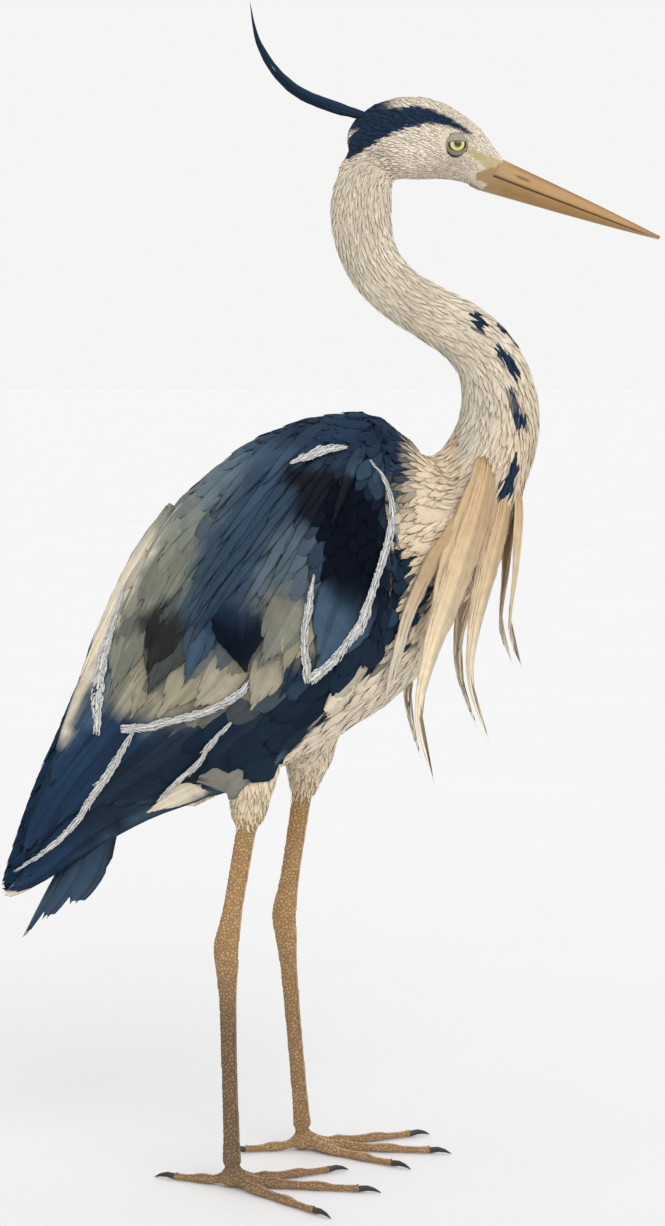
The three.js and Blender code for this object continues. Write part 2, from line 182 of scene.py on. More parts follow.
def smooth(low: float, high: float, values: Array) -> Array:
    """Return 0 below low, 1 above high and an eased step between."""
    share = np.clip((np.asarray(values, float) - low) / (high - low), 0, 1)
    return share * share * (3 - 2 * share)


def columns_at(wanted: Any, known: Array, rows: Array) -> Array:
    """Return rows of values at wanted distances, from the rows at known ones."""
    return np.column_stack([np.interp(wanted, known, column) for column in rows.T])


def travelled(path: Array) -> Array:
    """Return how far along a path each of its points lies."""
    steps = np.linalg.norm(np.diff(path, axis=0), axis=1)
    return np.concatenate([[0], np.cumsum(steps)])


def beside_path(path: Array) -> Array:
    """Return unit vectors square to a flat path, one for each of its points."""
    run = unit(np.gradient(path, axis=0))
    return np.column_stack([run[:, 1], -run[:, 0]])


def on_map(*shares: Array) -> Array:
    """Return places on a map for baking from shares of its sides, inside a thin margin."""
    return np.column_stack([MAP_MARGIN + (1 - 2 * MAP_MARGIN) * share for share in shares])


def opaque(colours: Array) -> Array:
    """Return colours with an alpha of one."""
    return np.column_stack([colours, np.ones(len(colours))])


def resample(points: Sequence[Sequence[float]], count: int) -> Array:
    """Return count points evenly spaced along a smooth curve through the points.

    Args:
        points: Places that the curve passes through, one to a row.
        count: How many points to return.

    Returns:
        The points along a Catmull-Rom curve, one to a row.
    """
    known = np.asarray(points, float)
    padded = np.vstack([2 * known[0] - known[1], known, 2 * known[-1] - known[-2]])
    share = np.linspace(0, 1, 12, endpoint=False)[:, None]
    pieces = []
    for before, start, end, after in zip(padded, padded[1:], padded[2:], padded[3:]):
        square = (2 * before - 5 * start + 4 * end - after) * share**2
        cube = (3 * start - before - 3 * end + after) * share**3
        pieces.append(0.5 * (2 * start + (end - before) * share + square + cube))
    curve = np.vstack([*pieces, known[-1:]])
    length = travelled(curve)
    return columns_at(np.linspace(0, length[-1], count), length, curve)


class Ripple:
    """Smooth noise between about -1 and 1 that is the same at every run."""

    def __init__(self, pitch: float, seed: int, dimensions: int = 3) -> None:
        """Set the waves.

        Args:
            pitch: Distance between crests, in millimetres.
            seed: Seed of the waves' directions.
            dimensions: Number of coordinates of a place.
        """
        rng = np.random.default_rng(seed)
        heading = unit(rng.normal(size=(7, dimensions)))
        self.waves = heading * (2 * math.pi / pitch) * rng.uniform(0.6, 1.5, (7, 1))
        self.phase = rng.uniform(0, 2 * math.pi, 7)

    def __call__(self, points: Array) -> Array:
        """Return the noise at each point."""
        return np.sin(points @ self.waves.T + self.phase).sum(axis=1) / 3.2


@dataclass
class Shell:
    """Points, faces and values of a mesh, in millimetres on the bird's axes."""

    points: Array
    faces: Faces
    per_point: dict[str, Array] = field(default_factory=dict)
    uv_maps: dict[str, Array] = field(default_factory=dict)

    def to_object(self, name: str, finish: Material) -> Piece:
        """Make the shell an object of the scene.

        Args:
            name: Name of the object and its mesh.
            finish: Its material.

        Returns:
            The new object.
        """
        mesh = bpy.data.meshes.new(name)
        mesh.from_pydata(BIRD.metres(self.points).tolist(), [], self.faces)
        for key, places in self.uv_maps.items():
            add_map(mesh, key, places)
        for key, values in self.per_point.items():
            store(mesh, key, values)
        soften(mesh)
        mesh.materials.append(finish)
        mesh.update()
        return placed(name, mesh)


def soften(mesh: Mesh) -> None:
    """Shade every face of a mesh smooth."""
    mesh.polygons.foreach_set("use_smooth", np.ones(len(mesh.polygons), bool))


def placed(name: str, data: Any) -> Piece:
    """Return a new object of the scene that shows a mesh, a light or a camera."""
    piece = bpy.data.objects.new(name, data)
    bpy.context.scene.collection.objects.link(piece)
    return piece


def add_map(mesh: Mesh, key: str, places: Array) -> None:
    """Add a map that gives a flat place to each point of a mesh."""
    corners = np.empty(len(mesh.loops), np.int32)
    mesh.loops.foreach_get("vertex_index", corners)
    layer = mesh.uv_layers.new(name=key)
    layer.uv.foreach_set("vector", places[corners].astype(np.float32).ravel())


def hand_in(piece: Piece, slot: str, *nodes: str) -> Piece:
    """Fix a finished piece to the body and report it.

    Args:
        piece: The finished piece.
        slot: Not used.
        nodes: Names of the solids that it replaces.

    Returns:
        The piece.
    """
    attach(piece, "root")
    if nodes:
        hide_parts(*nodes)
    piece.data.calc_loop_triangles()
    LOG.info("%s: %d triangles", piece.name, len(piece.data.loop_triangles))
    return piece


def store(mesh: Mesh, key: str, values: Array) -> None:
    """Store a value for each point of a mesh.

    Args:
        mesh: The mesh that takes the values.
        key: Name of the attribute.
        values: One number, three coordinates or four colour channels for each point.
    """
    kinds = {1: ("FLOAT", "value"), 3: ("FLOAT_VECTOR", "vector"), 4: ("FLOAT_COLOR", "color")}
    channels = 1 if values.ndim == 1 else values.shape[1]
    kind, part = kinds[channels]
    whole = values.dtype.kind == "i"
    layer = mesh.attributes.new(key, "INT" if whole else kind, "POINT")
    layer.data.foreach_set(part, values.astype(np.int32 if whole else np.float32).ravel())


def evaluated_copy(piece: Piece, name: str) -> Mesh:
    """Return a plain mesh of an object with its modifiers applied."""
    graph = bpy.context.evaluated_depsgraph_get()
    mesh = bpy.data.meshes.new_from_object(
        piece.evaluated_get(graph), preserve_all_data_layers=True, depsgraph=graph
    )
    mesh.name = name
    return mesh


def discard(piece: Piece) -> None:
    """Remove a helper object and its mesh."""
    mesh = piece.data
    bpy.data.objects.remove(piece)
    if mesh.users == 0:
        bpy.data.meshes.remove(mesh)


def tube_faces(rings: int, sides: int, closed: bool = False) -> Faces:
    """Return the faces of a tube whose rings follow one another.

    Args:
        rings: Number of rings.
        sides: Points in each ring, counted so that the faces point outwards.
        closed: Whether the last ring joins the first. Otherwise each end gets a fan
            round an extra point, and these two points come after the last ring.

    Returns:
        The faces as point numbers.
    """
    faces: Faces = []
    for ring in range(rings if closed else rings - 1):
        low, high = ring * sides, (ring + 1) % rings * sides
        for side in range(sides):
            after = (side + 1) % sides
            faces.append((low + side, low + after, high + after, high + side))
    if not closed:
        end = (rings - 1) * sides
        for side in range(sides):
            after = (side + 1) % sides
            faces.append((end + sides, after, side))
            faces.append((end + sides + 1, end + side, end + after))
    return faces


def facing_out(shell: Shell) -> Shell:
    """Return the shell with its faces turned so that it encloses a positive volume."""
    points = shell.points
    volume = 0.0
    for face in shell.faces:
        for second, third in zip(face[1:], face[2:]):
            volume += np.dot(points[face[0]], np.cross(points[second], points[third]))
    if volume < 0:
        shell.faces = [tuple(reversed(face)) for face in shell.faces]
    return shell


# --------------------------------------------------------------------------------------
# Node trees
# --------------------------------------------------------------------------------------


class Graph:
    """Adds nodes to a shader or geometry tree."""

    def __init__(self, tree: bpy.types.NodeTree) -> None:
        """Keep the tree that the nodes go into."""
        self.tree = tree

    def node(
        self, kind: str, settings: Optional[dict[str, Any]] = None,
        inputs: Optional[dict[Any, Any]] = None,
    ) -> Node:
        """Add one node.

        Args:
            kind: Blender's name of the node type.
            settings: Properties of the node, set before its sockets.
            inputs: Values or links of its sockets, by name, identifier or number.

        Returns:
            The new node.
        """
        made = self.tree.nodes.new(kind)
        for key, setting in (settings or {}).items():
            setattr(made, key, setting)
        self.fill(made, inputs or {})
        return made

    def fill(self, made: Node, inputs: dict[Any, Any]) -> None:
        """Set or link inputs of a node, given by name, identifier or number."""
        for key, given in inputs.items():
            socket = self._socket(made, key)
            if isinstance(given, Value):
                given = given.socket
            if isinstance(given, Socket):
                self.tree.links.new(given, socket)
            else:
                socket.default_value = given

    def value(self, socket: Socket) -> "Value":
        """Return a socket that can be used in an expression."""
        return Value(self, socket)

    def blend(self, mask: Any, first: Any, second: Any) -> Socket:
        """Return a colour that goes from the first to the second as the mask rises."""
        inputs = {"Factor_Float": mask, "A_Color": first, "B_Color": second}
        made = self.node("ShaderNodeMix", {"data_type": "RGBA"}, inputs)
        return made.outputs[2]

    def shade(self, amount: Any, colour: Any) -> Socket:
        """Return the colour made lighter or darker by an amount."""
        if isinstance(colour, tuple):
            colour = colour[:3]
        made = self.node("ShaderNodeVectorMath", {"operation": "SCALE"}, {0: colour, "Scale": amount})
        return made.outputs[0]

    def step(self, low: float, high: float, given: "Value") -> "Value":
        """Return 0 below low, 1 above high and an eased step between."""
        made = self.node(
            "ShaderNodeMapRange", {"interpolation_type": "SMOOTHSTEP"},
            {"Value": given, "From Min": low, "From Max": high},
        )
        return self.value(made.outputs[0])

    @staticmethod
    def _socket(made: Node, key: Any) -> Socket:
        """Return the input socket with this number, identifier or name."""
        if isinstance(key, int):
            return made.inputs[key]
        for socket in made.inputs:
            if socket.identifier == key:
                return socket
        return made.inputs[key]


class Value:
    """A socket with a number, which adds Math nodes when used in an expression."""

    def __init__(self, graph: Graph, socket: Socket) -> None:
        """Wrap a socket."""
        self.graph = graph
        self.socket = socket

    def _math(self, operation: str, first: Any, second: Any = 0.0) -> "Value":
        """Add a Math node and return its result."""
        made = self.graph.node("ShaderNodeMath", {"operation": operation}, {0: first, 1: second})
        return Value(self.graph, made.outputs[0])

    def __add__(self, other: Any) -> "Value":
        """Return self + other."""
        return self._math("ADD", self, other)

    def __radd__(self, other: Any) -> "Value":
        """Return other + self."""
        return self._math("ADD", other, self)

    def __sub__(self, other: Any) -> "Value":
        """Return self - other."""
        return self._math("SUBTRACT", self, other)

    def __rsub__(self, other: Any) -> "Value":
        """Return other - self."""
        return self._math("SUBTRACT", other, self)

    def __mul__(self, other: Any) -> "Value":
        """Return self * other."""
        return self._math("MULTIPLY", self, other)

    def __rmul__(self, other: Any) -> "Value":
        """Return other * self."""
        return self._math("MULTIPLY", other, self)

    def __abs__(self) -> "Value":
        """Return the size of self without its sign."""
        return self._math("ABSOLUTE", self)

    def sine(self) -> "Value":
        """Return the sine of self."""
        return self._math("SINE", self)

    def greatest(self, other: Any) -> "Value":
        """Return the greater of self and other."""
        return self._math("MAXIMUM", self, other)

    def power(self, exponent: float) -> "Value":
        """Return self raised to a power."""
        return self._math("POWER", self, exponent)


# --------------------------------------------------------------------------------------
# Colours and finishes
# --------------------------------------------------------------------------------------


class Tone(Enum):
    """Colours of the coat and of the bare parts."""

    WHITE = "f0e9dc"
    FRINGE = "e9e9e6"
    CREAM = "e5d8c4"
    CHEEK = "dccfbe"
    NAPE = "dfd3bd"
    NECK = "e0d3bf"
    OCHRE = "d8bf97"
    PLUME = "bfa17b"
    # Pale plume tips, made paler still as painted light where the tips hang down into shade.
    PLUME_TIP = "ecdfc2"
    PEARL = "b5b7b4"
    SLATE = "3d5265"
    SLATE_BLUE = "2b4054"
    MANTLE = "203247"
    NAVY = "1b3048"
    INK = "080f1c"
    DUSK = "1b2938"
    PEWTER = "66747b"
    OLIVE = "7c7e72"
    SOOT = "242726"
    MOSS = "474c48"
    SAND = "98917c"
    STRAW = "a69e8b"
    BILL = "ad8450"
    BILL_DARK = "5e482e"
    BILL_LOW = "9d7746"
    BILL_BASE = "9c8a62"
    GAPE = "3d2c20"
    RICTUS = "a98d68"
    LORE = "bfb084"
    LID = "b3a691"
    IRIS = "e8dc8a"
    IRIS_RIM = "b79a3c"
    PUPIL = "0b0908"
    LEG = "b89369"
    SHIN = "6a5a47"
    LEG_PALE = "b08f62"
    CLAW = "2f2822"
    FLOOR = "e4e4e5"

    @property
    def linear(self) -> Array:
        """Return the colour as linear red, green and blue."""
        code = self.value
        channels = np.array([int(code[i : i + 2], 16) for i in (0, 2, 4)]) / 255
        return np.where(channels <= 0.04045, channels / 12.92, ((channels + 0.055) / 1.055) ** 2.4)

    @property
    def rgba(self) -> tuple[float, ...]:
        """Return the colour as linear red, green, blue and alpha."""
        return (*self.linear.tolist(), 1.0)

    def everywhere(self, points: Array) -> Array:
        """Return the colour once for each point."""
        return np.tile(self.linear, (len(points), 1))

    def wash(self, colours: Array, mask: Array) -> None:
        """Lay the tone over colours, as far as the mask says."""
        colours += (self.linear - colours) * np.clip(mask, 0, 1)[..., None]


@dataclass(frozen=True)
class Finish:
    """What every finish has: a name and a Principled shader with constant settings."""

    name: str
    roughness: float = 0.6
    specular: float = 0.4

    def build(self) -> Material:
        """Return the material, with its nodes made by the kind of finish."""
        material = bpy.data.materials.new(self.name)
        material.use_nodes = True
        graph = Graph(material.node_tree)
        shader = material.node_tree.nodes["Principled BSDF"]
        graph.fill(shader, {"Roughness": self.roughness, "Specular IOR Level": self.specular})
        graph.fill(shader, self.dress(graph))
        return material

    def dress(self, graph: Graph) -> dict[str, Any]:
        """Return what this kind of finish gives the shader's inputs; the plain kind has none."""
        return {}

    @staticmethod
    def tint(graph: Graph) -> Socket:
        """Return the colour that each point of the piece carries."""
        return graph.node("ShaderNodeAttribute", {"attribute_name": "Tint"}).outputs["Color"]

    @staticmethod
    def own_map(graph: Graph, name: str) -> tuple[Socket, Value, Value]:
        """Return the place on a map of the piece, and its two coordinates."""
        place = graph.node("ShaderNodeUVMap", {"uv_map": name}).outputs[0]
        parts = graph.node("ShaderNodeSeparateXYZ", None, {0: place})
        return place, graph.value(parts.outputs[0]), graph.value(parts.outputs[1])

    @staticmethod
    def object_place(graph: Graph) -> Socket:
        """Return the place on the surface in object coordinates."""
        return graph.node("ShaderNodeTexCoord").outputs["Object"]

    @staticmethod
    def noise(graph: Graph, place: Any, pitch: float, detail: float = 2.0) -> Value:
        """Return noise whose lumps are about a pitch across, in millimetres."""
        inputs = {"Vector": place, "Scale": 1 / (pitch * MM), "Detail": detail}
        return graph.value(graph.node("ShaderNodeTexNoise", None, inputs).outputs[0])

    @staticmethod
    def bumped(graph: Graph, height: Value, depth: float) -> Socket:
        """Return the way out of a surface with a height from 0 to 1 that is a depth in mm."""
        inputs = {"Height": height, "Distance": depth * MM, "Strength": 1.0}
        return graph.node("ShaderNodeBump", None, inputs).outputs[0]


@dataclass(frozen=True)
class Plumage(Finish):
    """Feathers: barbs, shaft and a paler fringe over each feather's own tint."""

    barb_pitch: float = 1.5
    barb_depth: float = 0.14
    shaft: float = 0.5
    sheen: float = 0.12

    BARB_SLANT = 3.15
    RIM_START = 0.93

    def dress(self, graph: Graph) -> dict[str, Any]:
        """Draw the barbs along each feather's own map and colour them by its tint."""
        tint = self.tint(graph)
        edge = graph.node("ShaderNodeAttribute", {"attribute_name": "Fringe"})
        span = graph.value(graph.node("ShaderNodeAttribute", {"attribute_name": "Span"}).outputs["Fac"])
        _, across, along = self.own_map(graph, "FeatherUV")
        across = abs(across * 2 - 1)
        world = self.object_place(graph)
        mottle = self.noise(graph, world, 7.0, 3.0)
        grain = self.noise(graph, world, 1.3, 2.0)
        turns = (along * span - across * self.BARB_SLANT) * (2 * math.pi / self.barb_pitch)
        barbs = (turns + grain * 3.0).sine() * 0.5 + 0.5
        shaft = 1 - graph.step(0.02, 0.10, across)
        strength = graph.value(edge.outputs["Alpha"])
        reach = across.greatest(along * 1.02 - 0.06) + (grain - 0.5) * 0.2
        rim = graph.step(0.0, 0.16, reach - (self.RIM_START - strength * 0.36))
        tone = graph.shade(0.72 + mottle * 0.40 + barbs * 0.14, tint)
        tone = graph.blend(shaft * (0.35 * self.shaft), tone, graph.shade(0.45, tint))
        fringe = rim * (strength * 0.75 + 0.15)
        tone = graph.blend(fringe, tone, edge.outputs["Color"])
        height = barbs * 0.6 + shaft * self.shaft + grain * 0.5
        return {
            "Base Color": tone, "Sheen Weight": self.sheen, "Sheen Roughness": 0.5,
            "Normal": self.bumped(graph, height, self.barb_depth),
        }


@dataclass(frozen=True)
class Down(Finish):
    """Skin under the coat, as short down in the tints of the coat above it."""

    depth: float = 0.5

    def dress(self, graph: Graph) -> dict[str, Any]:
        """Mottle the tint and bump it as down."""
        tint = self.tint(graph)
        world = self.object_place(graph)
        grain = self.noise(graph, world, 1.6, 3.0)
        lumps = self.noise(graph, world, 6.0, 2.0)
        tone = graph.shade(0.62 + grain * 0.3 + lumps * 0.3, tint)
        return {"Base Color": tone, "Normal": self.bumped(graph, grain + lumps * 0.5, self.depth)}


@dataclass(frozen=True)
class Horn(Finish):
    """Bill and claws: tinted horn with fine growth lines and worn edges."""

    line_pitch: float = 1.1
    depth: float = 0.05

    GROWTH_TURN = (0.0, -math.atan2(0.37, 1.0), 0.0)
    GROWTH_STRETCH = (0.12, 1.0, 1.0)

    def dress(self, graph: Graph) -> dict[str, Any]:
        """Colour the horn by its tint, with long streaks and small pits."""
        tint = self.tint(graph)
        world = self.object_place(graph)
        inputs = {"Vector": world, "Rotation": self.GROWTH_TURN, "Scale": self.GROWTH_STRETCH}
        turned = graph.node("ShaderNodeMapping", None, inputs)
        streaks = self.noise(graph, turned.outputs[0], self.line_pitch, 3.0)
        pits = self.noise(graph, world, 0.7, 2.0)
        blush = self.noise(graph, world, 14.0, 2.0)
        return {
            "Base Color": graph.shade(0.72 + streaks * 0.38 + blush * 0.22, tint),
            "Roughness": 0.30 + streaks * 0.16 + pits * 0.10,
            "Normal": self.bumped(graph, streaks * 0.8 + pits * 0.4, self.depth),
        }


@dataclass(frozen=True)
class BareSkin(Finish):
    """Lids: soft wrinkled skin in the tint of each point."""

    pitch: float = 0.9
    depth: float = 0.16

    def dress(self, graph: Graph) -> dict[str, Any]:
        """Wrinkle the skin with cells and noise."""
        tint = self.tint(graph)
        world = self.object_place(graph)
        inputs = {"Vector": world, "Scale": 1 / (self.pitch * MM)}
        cells = graph.node("ShaderNodeTexVoronoi", {"feature": "DISTANCE_TO_EDGE"}, inputs)
        crease = graph.step(0.0, 0.22, graph.value(cells.outputs["Distance"]))
        grain = self.noise(graph, world, 0.6, 2.0)
        tone = graph.shade(0.66 + crease * 0.22 + grain * 0.24, tint)
        return {"Base Color": tone, "Normal": self.bumped(graph, crease + grain * 0.4, self.depth)}


@dataclass(frozen=True)
class Scale(Finish):
    """Scutes of the legs and toes."""

    depth: float = 0.08

    def dress(self, graph: Graph) -> dict[str, Any]:
        """Darken each scute towards its edge and scuff its crown."""
        tint = self.tint(graph)
        _, across, along = self.own_map(graph, "FeatherUV")
        rim = graph.step(0.55, 1.0, abs(across * 2 - 1).greatest(abs(along * 2 - 1)))
        world = self.object_place(graph)
        grain = self.noise(graph, world, 0.8, 3.0)
        stain = self.noise(graph, world, 9.0, 2.0)
        return {
            "Base Color": graph.shade(0.66 + grain * 0.3 + stain * 0.42 - rim * 0.3, tint),
            "Roughness": 0.40 + grain * 0.2 + rim * 0.15,
            "Normal": self.bumped(graph, grain * 0.5 - rim * 0.5, self.depth),
        }


@dataclass(frozen=True)
class EyeGlass(Finish):
    """Eye: pupil, iris with fine spokes and a dark rim, under a clear wet coat."""

    iris: float = 5.6
    pupil: float = 2.5
    spokes: int = 46

    def dress(self, graph: Graph) -> dict[str, Any]:
        """Colour the ball by the distance from its own axis, kept in its map."""
        place, reach, spoke = self.own_map(graph, "EyeMap")
        reach = reach * EYE_RADIUS
        inputs = {"Vector": place, "Scale": 34.0, "Detail": 3.0}
        fibres = graph.node("ShaderNodeTexNoise", {"noise_dimensions": "2D"}, inputs)
        fleck = graph.value(fibres.outputs[0])
        rays = (spoke * (2 * math.pi * self.spokes) + fleck * 9.0).sine() * 0.5 + 0.5
        inner = graph.step(self.pupil - 0.15, self.pupil + 0.15, reach)
        warm = graph.step(self.pupil + 0.2, self.pupil + 1.5, reach)
        rim = graph.step(self.iris - 1.0, self.iris - 0.15, reach)
        tone = graph.blend(warm, Tone.IRIS_RIM.rgba, Tone.IRIS.rgba)
        tone = graph.shade(0.80 + rays * 0.16 + fleck * 0.16, tone)
        tone = graph.blend(rim, tone, Tone.GAPE.rgba)
        tone = graph.blend(inner, Tone.PUPIL.rgba, tone)
        return {"Base Color": tone, "Coat Weight": 1.0, "Coat Roughness": 0.02}


@dataclass(frozen=True)
class Floor(Finish):
    """Pale matt floor."""

    def dress(self, graph: Graph) -> dict[str, Any]:
        """Set the floor's colour with a very faint variation."""
        cloud = self.noise(graph, self.object_place(graph), 300.0, 2.0)
        return {"Base Color": graph.shade(0.97 + cloud * 0.05, Tone.FLOOR.rgba)}


class Wardrobe:
    """The finishes of the bird, each built once."""

    def __init__(self) -> None:
        """Build every finish."""
        self.feather = Plumage("feather", 0.8, 0.06, 1.5, 0.14, 0.5, 0.0).build()
        self.tuft = Plumage("short feather", 0.85, 0.1, 1.1, 0.1, 0.15, 0.05).build()
        self.quill = Plumage("flight feather", 0.62, 0.1, 1.8, 0.12, 1.0, 0.0).build()
        self.plume = Plumage("loose plume", 0.85, 0.1, 0.8, 0.03, 0.6, 0.0).build()
        self.down = Down("down", 0.9, 0.1).build()
        self.bill = Horn("bill horn", 0.35, 0.5).build()
        self.claw = Horn("claw horn", 0.4, 0.5, 0.8, 0.04).build()
        self.bare = BareSkin("bare skin", 0.5, 0.4).build()
        self.scale = Scale("leg scale", 0.5, 0.45).build()
        self.eye = EyeGlass("eye", 0.12, 0.5).build()
        self.floor = Floor("floor", 0.9, 0.1).build()


# --------------------------------------------------------------------------------------
# Where a place is on the bird, and what colour its coat has
# --------------------------------------------------------------------------------------


class Region(Enum):
    """Lengths of the body's middle line."""

    HEAD = 0
    NECK = 1
    BODY = 2


class Spine:
    """Middle line of head, neck and body, which unwraps the surface round it."""

    def __init__(self) -> None:
        """Join the three rows of stations into one line."""
        rows = {Region.HEAD: HEAD, Region.NECK: NECK, Region.BODY: BODY}
        pairs = [pair for stations in rows.values() for pair in zip(stations, stations[1:])]
        self.starts = np.array([(one.x, one.z) for one, _ in pairs], float)
        self.ends = np.array([(other.x, other.z) for _, other in pairs], float)
        self.deep = np.array([(one.deep + other.deep) / 2 for one, other in pairs])
        self.wide = np.array([(one.wide + other.wide) / 2 for one, other in pairs])
        self.region = np.repeat([kind.value for kind in rows], [len(row) - 1 for row in rows.values()])
        reach = [math.hypot(other.x - one.x, other.z - one.z) for one, other in pairs]
        self.begin = np.concatenate([[0.0], np.cumsum(reach)[:-1]])
        self.length = float(np.cumsum(reach)[-1])
        self.first = {kind: self.begin[self.region == kind.value][0] for kind in rows}

    def locate(self, points: Array) -> tuple[Array, Array, Array]:
        """Find the nearest part of the middle line, measured in body depths.

        Args:
            points: Places on the bird, one to a row.

        Returns:
            The region's number, the distance along the line from the bill in
            millimetres, and the angle round it, which is 0 at the front or underside,
            half a turn at the back and positive on the left.
        """
        flat = points[:, [0, 2]]
        run = self.ends - self.starts
        reach = np.linalg.norm(run, axis=1)
        ahead = run / reach[:, None]
        offset = flat[:, None, :] - self.starts[None]
        along = np.clip((offset * ahead).sum(axis=2), 0, reach)
        nearest = self.starts + along[..., None] * ahead
        gap = np.linalg.norm(flat[:, None, :] - nearest, axis=2) / self.deep
        best = gap.argmin(axis=1)
        row = np.arange(len(points))
        beside = offset[row, best]
        under = beside[:, 0] * -ahead[best, 1] + beside[:, 1] * ahead[best, 0]
        angle = np.arctan2(points[:, 1] / self.wide[best], under / self.deep[best])
        return self.region[best], self.begin[best] + along[row, best], angle

    def unwrap(self, points: Array) -> Array:
        """Return the places on a flat map of the body's own surface, from 0 to 1."""
        _, along, angle = self.locate(points)
        return on_map(along / self.length, 0.5 + angle / (2 * math.pi))

    def lie(self, points: Array, normals: Array) -> Array:
        """Return the direction in which the coat lies at points of the surface.

        Args:
            points: Places on the surface, one to a row.
            normals: The way out of the surface at each place.

        Returns:
            Unit vectors in the surface, blended from the nearest lengths of the line.
        """
        middle = (self.starts + self.ends) / 2
        run = unit(self.ends - self.starts)
        places, headings = np.zeros((2, len(middle), 3))
        places[:, [0, 2]] = middle
        headings[:, [0, 2]] = run
        gap = np.linalg.norm(points[:, None, :] - places, axis=2) / self.deep
        weight = 1 / (gap**5 + 0.01)
        heading = (weight[..., None] * headings).sum(axis=1)
        return in_surface(heading / weight.sum(axis=1)[:, None], normals)


SPINE = Spine()


def in_surface(headings: Array, normals: Array) -> Array:
    """Return unit vectors along the surface, as close to the headings as they can be."""
    flat = headings - (headings * normals).sum(axis=1)[:, None] * normals
    return unit(flat)


def beside_line(flat: Array, start: Sequence[float], end: Sequence[float]) -> Pair:
    """Return how places lie to a line in the side view.

    Args:
        flat: X and Z of each place.
        start: X and Z of one end of the line.
        end: X and Z of the other end.

    Returns:
        The share of the line's length that the nearest point of it lies at, and the
        distance from that point.
    """
    run = np.array(end, float) - start
    share = np.clip((flat - start) @ run / (run @ run), 0, 1)
    return share, np.linalg.norm(flat - start - share[:, None] * run, axis=1)


@dataclass(frozen=True)
class Stripe:
    """A stripe of one tone along a path, seen from the side.

    Each point of the path is its place and the stripe's half width there.
    """

    tone: Tone
    path: tuple[Point, ...]
    soft: float = 2.0

    def mask(self, points: Array) -> Array:
        """Return how far each point is covered by the stripe, from 0 to 1."""
        flat = points[:, [0, 2]]
        best = np.full(len(points), -1e9)
        for (*start, half), (*end, half2) in zip(self.path, self.path[1:]):
            share, gap = beside_line(flat, start, end)
            best = np.maximum(best, half + (half2 - half) * share - gap)
        return smooth(-self.soft, self.soft, best)


@dataclass(frozen=True)
class Patch:
    """A soft round patch of one tone, seen from the side."""

    tone: Tone
    x: float
    z: float
    long: float
    short: float
    tilt: float = 0.0
    strength: float = 1.0

    def mask(self, points: Array) -> Array:
        """Return how far each point is covered by the patch, from 0 to 1."""
        turn = math.radians(self.tilt)
        dx, dz = points[:, 0] - self.x, points[:, 2] - self.z
        along = dx * math.cos(turn) + dz * math.sin(turn)
        beside = dz * math.cos(turn) - dx * math.sin(turn)
        gap = np.hypot(along / self.long, beside / self.short)
        return self.strength * (1 - smooth(0.6, 1.3, gap))


